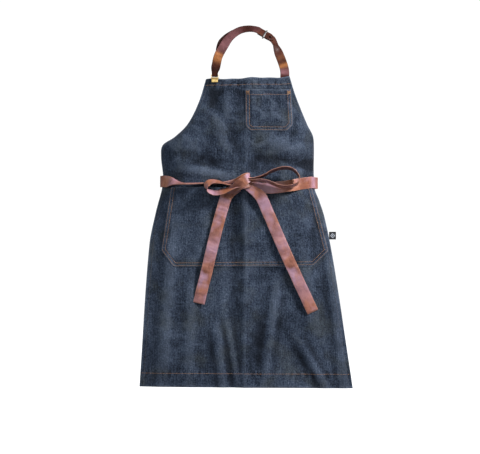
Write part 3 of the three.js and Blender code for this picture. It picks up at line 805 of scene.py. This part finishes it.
def makeTopstitch():
    # orange rows at the top and the hem and round the pockets, dark rows along the sides
    flat = lambda x, z: np.full(np.shape(x), cut["thickness"] / 2 + 0.15)
    topZ, hemZ = cut["bibTop"] - cut["topHem"], cut["hemLine"] + cut["bottomHem"]
    rows = [seam([(leftEdge(topZ) + 3, topZ), (rightEdge(topZ) - 3, topZ)], flat),
            seam([(leftEdge(hemZ) + 2, hemZ), (rightEdge(hemZ) - 2, hemZ)], flat)]
    sewn("panel_topstitch", rows, "apron_body", denimThread)
    rows = []
    for side, foot in ((-1.0, -316.0), (1.0, -292.0)):
        rows.append(seam(edgeSeam(side, cut["bibTop"] - 3, foot, 9.0), flat))
        rows.append(seam(edgeSeam(side, foot - 6, cut["hemLine"] + 3, 11.0), flat))
    sewn("side_topstitch", rows, "apron_body", darkThread)

    for pocket in (chestPocket, waistPocket):
        line = pocket["outline"]
        out = lambda x, z: pocketRise(pocket, x, z) + cut["thickness"] / 2 + 0.3
        rows = [seam(inset(line, 2.6), out), seam(inset(line, 10.5), out)]
        if pocket["tacks"]:
            mouth = pocket["top"] - pocket["mouthHem"]
            rows.append(seam([(line[0, 0] + 2, mouth), (line[-1, 0] - 2, mouth)], out))
            for corner, inward in ((line[0], 1), (line[-1], -1)):
                for k in range(7):
                    x = corner[0] + inward * (2.0 + 1.25 * k)
                    bar = [(x, corner[1] - 2.5), (x, corner[1] - 12.0)]
                    rows.append(seam(bar, out, pitch=1.7, length=1.9))
        sewn(pocket["name"] + "_topstitch", rows, "apron_body", denimThread)


panel = makePanel()
hems = makeHems()
chestCloth, chestLining = makePocket(chestPocket, denimPocketFinish)
waistCloth, waistLining = makePocket(waistPocket, denimPocketFinish)
makeTopstitch()
print("apron: cloth, hems, pockets and topstitching made")


def makeRibbon(name, route, across, width, thickness, count, seed, wrinkle, tints,
               crown=0.2, pleat=0.0, turned=True, flesh=(0, 1)):
    # a flat strap with cut edges carried along a route: its section is a thin slab, slightly
    # crowned or pleated lengthwise, and its face ripples a little along its length; a tint is a
    # bell curve along the route, given by its place, spread and strength; tints paint reflection,
    # highlight and shade
    at = np.array([-1, -0.97, -0.88, -0.66, -0.33, 0, 0.33, 0.66, 0.88, 0.97, 1.0])
    route = [np.asarray(p, float) for p in route]
    centre, tangent, u = routed(route, count)
    across = np.array([np.asarray(a, float) for a in across])
    i = np.minimum(u.astype(int), len(route) - 2)
    side = mixed(across[i], across[i + 1], (u - i)[:, None])
    side = unit(side - np.sum(side * tangent, -1, keepdims=True) * tangent)
    face = np.cross(tangent, side)
    share = u / (len(route) - 1)
    length = np.concatenate([[0], np.cumsum(np.linalg.norm(np.diff(centre, axis=0), axis=1))])
    wide, thick = width(share)[:, None], thickness(share)[:, None]
    ripple = crumple(length[:, None], at[None] * wide / 2, 34, seed) * wrinkle * np.ones_like(wide)
    ripple = ripple + wrinkle * 0.5 * crumple(length[:, None], at[None] * wide / 4, 13, seed + 1)
    waver = crumple(length, 0.0 * length, 60, seed + 2)[:, None] * 0.35
    slab = thick / 2 * (1 - 0.45 * np.abs(at[None]) ** 12)
    dome = crown * (1 - at[None] ** 2) + pleat * np.cos(at[None] * 8.5 + 0.02 * length[:, None])
    spread = at[None] * wide / 2 + waver
    middle = centre[:, None] + side[:, None] * spread[..., None]
    top = middle + face[:, None] * (slab + dome + ripple)[..., None]
    low = middle + face[:, None] * (dome - slab + ripple)[..., None]
    ring = np.concatenate([top, low[:, ::-1]], 1)
    size, half = ring.shape[1], len(at)
    ends = unit(tangent[[0, -1]]) * np.array([[-1], [1]]) * 0.4
    ring[0], ring[-1] = ring[0] + ends[0], ring[-1] + ends[1]
    r, k = np.meshgrid(np.arange(count - 1), np.arange(size), indexing="ij")
    k2 = (k + 1) % size
    corners = [r * size + k, r * size + k2, (r + 1) * size + k2, (r + 1) * size + k]
    wall = np.stack(corners, -1).reshape(-1, 4)
    j = np.arange(half - 1)
    cap = np.stack([j, size - 1 - j, size - 2 - j, j + 1], -1)
    quads = np.vstack([wall, cap, (cap + (count - 1) * size)[:, ::-1]])
    volume = np.sum(np.cross(top[:-1, 1:] - top[:-1, :-1], top[1:, :-1] - top[:-1, :-1])
                    * face[:-1, None])
    if volume < 0:
        quads = quads[:, ::-1]
    acrossUv = np.concatenate([at, at[::-1]])[None] * wide / 2
    uv = np.stack([np.broadcast_to(length[:, None], acrossUv.shape), acrossUv], -1)
    edge = np.broadcast_to(smooth(np.abs(np.concatenate([at, at[::-1]])), 0.93, 1.0),
                           acrossUv.shape).copy()
    edge[0], edge[-1] = 1.0, 1.0
    sides = np.broadcast_to(np.concatenate([np.full(half, flesh[0]), np.full(half, flesh[1])]),
                            acrossUv.shape)
    marks = dict(edge=edge, flesh=sides)
    for mark, bells in tints.items():
        bell = sum(strength * np.exp(-((u - at0) / spread) ** 2) for at0, spread, strength in bells)
        marks[mark] = np.broadcast_to(np.clip(bell, 0, 1)[:, None], acrossUv.shape)
    if turned:
        ring = hung(ring)
    return meshOf(name, ring, quads, uv, marks)


def constant(value):
    # a width or thickness that is the same all along
    return lambda share: np.full(np.shape(share), float(value))


def vec(*numbers):
    return np.array(numbers, float)


neck = dict(strapWidth=25.0, endWidth=17.0, thickness=2.2, clipX=-88.0, barRadius=1.2,
            stretchStart=vec(30, 15, 5.4), slope=math.radians(-29.6), lean=math.radians(40), layer=1.4)
ties = dict(width=32.0, gathered=14.0, thickness=2.2)


def stretchAt(distance, depth):
    # a point of the straight stretch where the two halves of the neck strap overlap
    along = vec(math.cos(neck["slope"]), 0, math.sin(neck["slope"]))
    return neck["stretchStart"] + along * distance + np.cross(along, stretchAcross()) * depth


def stretchAcross():
    inner = vec(math.sin(neck["slope"]), 0, -math.cos(neck["slope"]))
    return inner * math.cos(neck["lean"]) + vec(0, -1, 0) * math.sin(neck["lean"])


def makeNeckStrap():
    fold = neck["thickness"] / 2 + 0.5 + neck["barRadius"]

    def aroundBar(a):
        return vec(neck["clipX"], hinge["y"] + fold * math.cos(a), hinge["z"] + fold * math.sin(a))

    left, leaf, layer = vec(1, 0, 0), stretchAcross(), neck["layer"]
    route = [(-86, 3.2, -99), (-87.5, 3.8, -110), *[aroundBar(-math.pi * k / 4) for k in range(5)],
             (-87.5, -2.6, -110), (-84, -2.4, -92), (-78, -1, -68), (-63, 3, -40), (-46, 9, -15),
             (-21, 14, 3.5), (8, 16, 9.5), stretchAt(0, -layer), stretchAt(10, -layer),
             stretchAt(30, -layer), stretchAt(52, -layer)]
    across = [left] * 9 + [(1, 0.2, -0.2), (0.85, -0.1, -0.5), (0.7, -0.4, -0.65), (0.35, -0.6, -0.8),
                           (0, -0.64, -0.76)] + [leaf] * 4

    def width(share):
        body = mixed(neck["endWidth"], neck["strapWidth"], smooth(share, 0.385, 0.45))
        return body * np.sqrt(np.maximum(1 - smooth(share, 0.965, 1.0) * 0.85, 0.15))

    # painted highlight, painted reflection and painted shade along the strap
    tints = dict(rubbed=[(8.75, 0.5, 0.9), (9.2, 0.12, 0.5)],
                 misted=[(10.2, 0.8, 0.75), (11.6, 0.7, 0.6), (13.7, 0.8, 0.3)],
                 shaded=[(7.2, 0.6, 0.9), (12.9, 0.9, 0.7)])
    strap = makeRibbon("neck_strap_leather", route, across, width, constant(neck["thickness"]), 260, 41,
                       0.16, tints, turned=False, flesh=(1, 0))
    place(strap, "neck_loop", neckFinish, ["neck_strap_long"])

    # the strap doubles over on its outer side where it turns up from the clip
    route = [(-83, 2.0, -64), (-79.5, 4.5, -45), (-71.5, 7.5, -29), (-57, 11.5, -13), (-42, 15.0, -2.5),
             (-27, 17.5, 5.5), (-12, 18.5, 10.5)]
    across = [(0.97, 0.1, -0.2), (0.93, 0.0, -0.4), (0.8, -0.1, -0.6), (0.66, -0.2, -0.72),
              (0.52, -0.3, -0.8), (0.42, -0.4, -0.84), (0.3, -0.5, -0.85)]
    # painted shade over the whole turned edge
    turn = makeRibbon("neck_strap_turned_edge", route, across,
                      straight([(0, 5), (0.35, 15), (0.7, 13), (1, 6)]),
                      constant(1.6), 90, 43, 0.3, dict(shaded=[(3, 5, 1.0)]), turned=False, flesh=(1, 0))
    place(turn, "neck_loop", neckFinish)

    foot, _ = cloth(acrossAt(106, cut["bibTop"]), hinge["z"] + 2.5, -4.6)
    low, _ = cloth(acrossAt(106, cut["bibTop"]), -144.0, -4.4)
    deep, _ = cloth(acrossAt(106, cut["bibTop"]), hinge["z"] - 6.0, -4.6)
    right = vec(-1, 0, 0)
    route = [stretchAt(6, layer), stretchAt(20, layer), stretchAt(34, layer), stretchAt(48, layer),
             (81, 14, -36), (90, 10, -60), (99, 7, -84), (105, foot[1] + 0.3, -104), hung(foot),
             hung(deep), hung(low)]
    across = [leaf] * 4 + [(-0.55, -0.8, -0.2), (-0.9, -0.2, -0.3), (-1, 0, -0.2)] + [right] * 4
    # painted highlight, painted reflection and painted shade along the strap
    tints = dict(rubbed=[(5.5, 0.35, 0.25), (6.5, 0.3, 1.0)], misted=[(7.7, 0.8, 1.0)],
                 shaded=[(4.0, 0.5, 0.6)])
    strap = makeRibbon("neck_strap_short_leather", route, across, constant(neck["strapWidth"]),
                       constant(neck["thickness"]), 200, 47, 0.16, tints, turned=False, flesh=(1, 0))
    bend = ("neck_loop", "apron_body", vec(106, foot[1], hinge["z"] + 7),
            vec(106, foot[1], hinge["z"] - 5))
    place(strap, bend, neckFinish, ["neck_strap_short", "neck_strap_sewn_end"])


def makeTie(name, node, route, across, width, thickness, count, seed, flesh, tints):
    tie = makeRibbon(name, route, across, width, thickness, count, seed, 0.25, tints, flesh=flesh)
    place(tie, "apron_body", tieFinish, [node])


def onCloth(s, z, out):
    # a point that stands off the unfolded cloth, square to it
    s = np.asarray(float(s))
    p = clothFlat(s, np.asarray(float(z)))
    front = cloth(s, float(z), 0.0)[1]
    return p + front * out


def makeTies():
    upright = vec(0, 0, 1)
    route = [onCloth(0.91, -412, -4), onCloth(0.96, -412, -4), (183, 83, -411), (150, 84, -407),
             (60, 76, -395), (-60, 69, -394), (-150, 65, -403), (-215, 62, -411), (-240, 56, -414),
             onCloth(-0.97, -414, 5), onCloth(-0.9, -416, 8), onCloth(-0.8, -419, 14), (-168, -8, -422),
             (-115, -10, -421), (-68, -10, -420), (-24, -13, -409)]
    across = [upright] * 10 + [(0.1, 0.2, 0.95), (0.2, 0.7, 0.7), (0, 1, 0.1)]
    across += [(0, 1, 0)] * 3
    # painted highlight, painted reflection and painted shade along each tie
    makeTie("left_waist_tie_leather", "waist_tie_left", route, across,
            lambda v: mixed(ties["width"], ties["gathered"], smooth(v, 0.66, 0.8)),
            lambda v: mixed(ties["thickness"], 2 * ties["thickness"], smooth(v, 0.66, 0.8)),
            260, 51, (0, 1),
            dict(rubbed=[(9.9, 0.8, 0.8)], misted=[(10.8, 0.8, 0.8)], shaded=[(13.6, 0.9, 0.35)]))
    route = [onCloth(-0.91, -420, -4.2), onCloth(-0.96, -420, -4.2), (-225, 55, -420), (-190, 57, -423),
             (-80, 62, -434), (20, 75, -434), (90, 84, -429), (160, 93, -420), (190, 95, -417),
             (200, 86, -417), onCloth(0.97, -417, 5), onCloth(0.9, -417, 5), onCloth(0.8, -420, 8),
             (123, -12, -427), (87, -13.5, -432), (51, -14, -434), (4, -17, -424)]
    across = [upright] * 13 + [(0.05, 0.1, 1), (0.1, 0.1, 1), (0, 0.2, 1), (-0.2, 0.4, 0.9)]
    makeTie("right_waist_tie_leather", "waist_tie_right", route, across,
            lambda v: mixed(ties["width"], 24, smooth(v, 0.9, 1)), constant(ties["thickness"]),
            270, 57, (1, 0),
            dict(misted=[(10.3, 0.6, 0.8), (14.7, 0.8, 0.7)], rubbed=[(12.9, 0.7, 0.8)],
                 shaded=[(12.1, 0.45, 0.8)]))


def makeBow():
    tieEdge = constant(ties["thickness"])
    # each turn's tints paint highlight, reflection and shade on it
    # the knot: crossed turns under one broad band that wraps from low left to high right
    turns = [
        dict(name="knot_band_leather", seed=61, wrinkle=0.5, crown=1.4, pleat=0.55, thickness=2.4,
             route=[(-54, -16, -447), (-43, -28, -441), (-28, -38, -431), (-13, -43, -420),
                    (-1, -42, -411), (7, -36, -406), (9.5, -26, -405), (5, -15, -409), (-8, -10, -420),
                    (-24, -9.5, -432)],
             across=[(0.7, 0.1, -0.7)] * 3 + [(0.55, 0.1, -0.8), (0.3, 0.1, -0.95)] + [(0.1, 0.1, -1)] * 3
             + [(0.5, 0, -0.8)] * 2,
             width=straight([(0, 9), (0.12, 20), (0.3, 27), (0.5, 25), (0.75, 24), (1, 14)]),
             flesh=(0, 0),
             tints=dict(misted=[(4.7, 0.45, 0.8)], rubbed=[(3.5, 0.5, 0.4)], shaded=[(1.4, 1.5, 0.75)])),
        dict(name="knot_upper_turn_leather", seed=63, wrinkle=0.4, crown=0.6, pleat=0.0, thickness=2.6,
             route=[(-56, -15, -423), (-44, -22, -420), (-30, -30, -413), (-18, -35, -406),
                    (-7, -35, -400), (2, -29, -398), (6, -17, -403)],
             across=[(0.1, -0.5, 0.8)] * 7, width=straight([(0, 6), (0.5, 9), (1, 12)]), flesh=(0, 1),
             tints=dict(rubbed=[(3.2, 1.5, 0.9)])),
        dict(name="knot_core_leather", seed=64, wrinkle=0.6, crown=1.0, pleat=0.5, thickness=3.0,
             route=[(-36, -13, -431), (-24, -26, -429), (-8, -33, -424), (8, -27, -419), (14, -14, -417)],
             across=[(0.1, 0.2, 1.0)] * 5, width=constant(27), flesh=(0, 1),
             tints=dict(shaded=[(2, 3, 0.6)]))]
    for turn in turns:
        piece = makeRibbon(turn["name"], turn["route"], turn["across"], turn["width"],
                           constant(turn["thickness"]), 120, turn["seed"], turn["wrinkle"], turn["tints"],
                           turn["crown"], turn["pleat"], flesh=turn["flesh"])
        place(piece, "apron_body", tieFinish, ["bow_knot"] if turn is turns[0] else ())

    # the loops' tints paint shade, highlight and reflection on them
    # the loops stand nearly on edge; their ends run on under the knot's band
    rightLoop = [(-4, -411), (11, -410), (29, -407), (47, -401), (71, -388), (101, -380), (125, -383),
                 (140, -396), (145.5, -410), (140, -422), (122, -430), (101, -431), (83, -427),
                 (65, -419), (47, -414), (26, -413.5), (11, -415), (-4, -415.5)]
    loop = makeRibbon("right_loop_leather", [vec(x, -31, z) for x, z in rightLoop],
                      [(0, 1, -0.26)] * len(rightLoop),
                      lambda v: mixed(20, 28, smooth(np.minimum(v, 1 - v), 0, 0.3)), tieEdge,
                      220, 67, 0.22, dict(shaded=[(14, 2.5, 0.5)]))
    hingeAt = hung(vec(11, -31, -412))
    place(loop, ("apron_body", "right_bow", hingeAt - vec(4, 0, 0), hingeAt + vec(16, 0, 0)),
          tieFinish, ["bow_loop_right"])
    leftLoop = [(-16, -424), (-31, -426), (-50, -425), (-70, -419.5), (-88, -416.5), (-102, -419),
                (-110, -427), (-109, -437), (-100, -444), (-86, -448), (-65, -444.5), (-46, -437),
                (-31, -432), (-16, -430)]
    across = [(0, 1, 0.15)] * 3 + [(-0.15, 0.85, 0.4), (-0.25, 0.8, 0.5)]
    across += [(-0.38, 0.72, 0.58)] * 3 + [(-0.2, 0.75, 0.6)] * 3
    across += [(-0.05, 0.85, 0.5), (0, 1, 0.3), (0, 1, 0.2)]
    tints = dict(rubbed=[(5.0, 1.1, 1.0), (10.4, 0.6, 0.7)], misted=[(8.6, 1.0, 0.8)],
                 shaded=[(1, 1.2, 0.6)])
    loop = makeRibbon("left_loop_leather", [vec(x, -29, z) for x, z in leftLoop], across,
                      lambda v: mixed(13, 23, smooth(v, 0.12, 0.4)), tieEdge, 200, 71, 0.3, tints,
                      flesh=(0.1, 0.1))
    hingeAt = hung(vec(-30, -29, -422))
    place(loop, ("apron_body", "left_bow", hingeAt + vec(4, 0, 0), hingeAt - vec(14, 0, 0)),
          tieFinish, ["bow_loop_left"])

    # the tails' tints paint reflection and shade on them
    tails = [
        dict(name="left_tail_leather", body="left_tail", seed=73,
             nodes=["tie_tail_left", "tail_left_top"],
             route=[(-20, -15, -434), (-30, -14.3, -439), (-44, -14, -446), (-55, -13.8, -457),
                    (-59.5, -13.4, -468.5), (-79, -12.5, -535), (-96, -12, -605), (-114, -9.5, -680),
                    (-132, -7.5, -752)], hinge=vec(-59.2, -13.4, -468.5),
             tints=dict(misted=[(3.9, 0.35, 0.7), (5.9, 0.4, 0.6), (7.9, 0.3, 0.3)],
                        shaded=[(0, 1.6, 0.5)])),
        dict(name="right_tail_leather", body="right_tail", seed=79,
             nodes=["tie_tail_right", "tail_right_top"],
             route=[(0, -25, -430), (12, -26, -438), (26, -25, -446), (38, -23.5, -457),
                    (44.3, -21.5, -468.5), (54, -18.5, -490), (76, -13.5, -541), (107, -12.5, -612),
                    (137, -10, -677), (183, -7.5, -776)], hinge=vec(44.2, -21.5, -468.5),
             tints=dict(misted=[(4.2, 1.0, 0.95), (6.4, 0.5, 0.4), (8.3, 0.4, 0.5)]))]
    for tail in tails:
        route = np.array(tail["route"])
        run = np.gradient(route, axis=0)
        across = np.stack([-run[:, 2], 0 * run[:, 1], run[:, 0]], -1)
        piece = makeRibbon(tail["name"], route, across,
                           lambda v: mixed(20, ties["width"], smooth(v, 0.02, 0.35)),
                           tieEdge, 240, tail["seed"], 0.55, tail["tints"])
        at, down = hung(tail["hinge"]), unit(route[5] - route[4])
        place(piece, ("apron_body", tail["body"], at - down * 3, at + down * 12),
              tieFinish, tail["nodes"])
        makeTailStitch(tail, route)


def makeTailStitch(tail, route):
    # a row of stitches close to the tail's cut end and up both edges for a little way
    end, before = route[-1], route[-2]
    down = unit(end - before)
    side = unit(np.cross(down, vec(0, -1, 0)))
    half = ties["width"] / 2 - 2.6
    line = np.array([end - down * 4 - side * half, end - down * 4 + side * half])
    places = evenly(line, 3.2) + vec(0, -1.65, 0)
    along = np.broadcast_to(side, places.shape)
    up = np.broadcast_to(unit(np.cross(side, down)), places.shape)
    points, quads = stitches(hung(places), along, up, 2.4, 0.7)
    stitch = meshOf(tail["name"].replace("_leather", "_stitch"), points, quads)
    place(stitch, tail["body"], leatherThread)


makeNeckStrap()
makeTies()
makeBow()
print("apron: leather straps, ties and bow made")


def polished(node, name, body, finish, bevel):
    # the part's own shape with its doubles merged and its edges eased
    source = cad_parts[node]
    mesh = source.data.copy()
    mesh.transform(source.matrix_world)
    mesh.materials.clear()
    piece = bpy.data.objects.new(name, mesh)
    bpy.context.scene.collection.objects.link(piece)
    weld = piece.modifiers.new("weld", "WELD")
    weld.merge_threshold = 0.00002
    flat = piece.modifiers.new("flat", "DECIMATE")
    flat.decimate_type, flat.angle_limit = "DISSOLVE", math.radians(4)
    ease = piece.modifiers.new("ease", "BEVEL")
    ease.width, ease.segments = bevel * mm, 3
    ease.limit_method, ease.angle_limit = "ANGLE", math.radians(32)
    mesh.shade_smooth()
    return place(piece, body, finish, [node])


def makeFittings():
    polished("clip_frame", "clip_frame_brass", "apron_body", brassFinish, 0.3)
    polished("clip_bar", "clip_bar_brass", "apron_body", brassFinish, 0.2)
    polished("clip_lever_pin", "clip_lever_pin_brass", "apron_body", brassFinish, 0.15)
    polished("clip_lever", "clip_lever_brass", "lever", brassFinish, 0.3)
    polished("keeper_loop", "keeper_wire", "strap_keeper", steelFinish, 0.6)
    polished("stud_knob", "stud_knob_dark", "neck_loop", studFinish, 0.2)
    polished("stud_back", "stud_back_brass", "neck_loop", brassFinish, 0.2)


def makeLabel():
    # woven tape folded double: two layers joined by a round fold at the free end
    low, high = (np.array(c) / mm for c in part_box("side_label"))
    tape = dict(thickness=0.36, rows=24, steps=40, foldRadius=0.42, foldStart=0.42, foldSpan=0.16)
    y0, wide, tall = (low[1] + high[1]) / 2, high[0] - low[0], high[2] - low[2]
    radius, run = tape["foldRadius"], wide - tape["foldRadius"]
    t = np.linspace(0, 1, tape["steps"])
    turn = np.clip((t - tape["foldStart"]) / tape["foldSpan"], 0, 1) * math.pi
    going, coming = (np.minimum(share / tape["foldStart"], 1) for share in (t, 1 - t))
    x = low[0] + run * np.where(t < 0.5, going, coming) + radius * np.sin(turn)
    y = y0 - radius * np.cos(turn)
    route = np.stack([x, y, np.zeros_like(x)], -1)
    outward = np.stack([np.sin(turn), -np.cos(turn), 0 * turn], -1)
    z = np.linspace(high[2] - 0.3, low[2] + 0.3, tape["rows"])
    face = route[None] + outward[None] * tape["thickness"] / 2
    back = route[None] - outward[None] * tape["thickness"] / 2
    face, back = (np.broadcast_to(a, (len(z), len(t), 3)).copy() for a in (face, back))
    face[..., 2] = back[..., 2] = z[:, None]
    curl = 0.5 * np.sin((z - low[2]) / tall * math.pi)[:, None] * ((x - low[0]) / wide)[None] ** 2
    face[..., 1] += curl
    back[..., 1] += curl
    rows, columns = face.shape[:2]
    count = rows * columns
    ring = rimOf(rows, columns)
    nextRing = np.roll(ring, -1)
    quads = np.vstack([gridQuads(rows, columns), gridQuads(rows, columns, count, flip=True),
                       np.stack([ring, nextRing, nextRing + count, ring + count], -1)])
    uv = np.stack(np.broadcast_arrays((x - low[0])[None], (z - low[2])[:, None]), -1)
    label = meshOf("side_label_tape", np.vstack([face.reshape(-1, 3), back.reshape(-1, 3)]), quads,
                   np.vstack([uv.reshape(-1, 2)] * 2))
    place(label, "label_flag", labelFinish("labelTape"), ["side_label"])


makeFittings()
makeLabel()
print("apron: fittings and label made")


def makeStage():
    view = dict(middle=(-0.018, -0.5415), frameWidth=1.3296, distance=5.0, sensor=36.0)
    floor = dict(drop=0.045, size=9.0, colour=(0.24, 0.24, 0.245), glow=1.0)
    camera = bpy.data.objects.new("camera", bpy.data.cameras.new("camera"))
    camera.data.sensor_width = view["sensor"]
    camera.data.lens = view["sensor"] * view["distance"] / view["frameWidth"]
    camera.data.clip_end = 50
    camera.location = (view["middle"][0], -view["distance"], view["middle"][1])
    camera.rotation_euler = (math.pi / 2, 0, 0)
    bpy.context.scene.collection.objects.link(camera)
    bpy.context.scene.camera = camera

    half, level = floor["size"] / 2, cadBox[0][2] - floor["drop"]
    mesh = bpy.data.meshes.new("floor")
    corners = [(-half, -half, level), (half, -half, level), (half, half, level), (-half, half, level)]
    mesh.from_pydata(corners, [], [(0, 1, 2, 3)])
    ground = bpy.data.objects.new("floor", mesh)
    bpy.context.scene.collection.objects.link(ground)
    pale = Finish("paleFloor", Roughness=0.9, Base_Color=(*floor["colour"], 1),
                  Emission_Color=(1, 1, 1, 1))
    pale.wear(Emission_Strength=pale.node("ShaderNodeLightPath") * floor["glow"])
    ground.data.materials.append(pale.material)

    aim = vec(0, 0, -0.5)
    for name, spot, size, power, colour in (
            ("keyLight", (2.5, -1.35, 1.5), 0.8, 255, (0.99, 0.98, 1.0)),
            ("fillLight", (-0.8, -4.3, 1.3), 0.9, 34, (0.94, 0.96, 1.0)),
            ("leftLight", (-2.7, -1.0, 0.3), 0.8, 30, (0.78, 0.89, 1.0)),
            ("backLight", (0.6, 3.2, 1.6), 2.4, 60, (0.96, 0.98, 1.0))):
        light = bpy.data.objects.new(name, bpy.data.lights.new(name, "AREA"))
        light.data.size, light.data.energy, light.data.color = size, power, colour
        light.location = spot
        away = vec(*spot) - aim
        tilt = math.acos(away[2] / np.linalg.norm(away))
        light.rotation_euler = (tilt, 0, math.atan2(away[1], away[0]) + math.pi / 2)
        bpy.context.scene.collection.objects.link(light)

    world = bpy.data.worlds.new("paleRoom")
    world.use_nodes = True
    bpy.context.scene.world = world
    tree = world.node_tree
    sky = tree.nodes["Background"]
    sky.inputs["Color"].default_value = (1, 1, 1, 1)
    glow = tree.nodes.new("ShaderNodeLightPath")
    share = tree.nodes.new("ShaderNodeMapRange")
    share.inputs["To Min"].default_value = 0.12  # what falls on the cloth
    share.inputs["To Max"].default_value = 1.05  # what the camera sees
    tree.links.new(glow.outputs["Is Camera Ray"], share.inputs["Value"])
    tree.links.new(share.outputs["Result"], sky.inputs["Strength"])
    bpy.context.scene.view_settings.view_transform = "Standard"


makeStage()
print("apron: stage set")
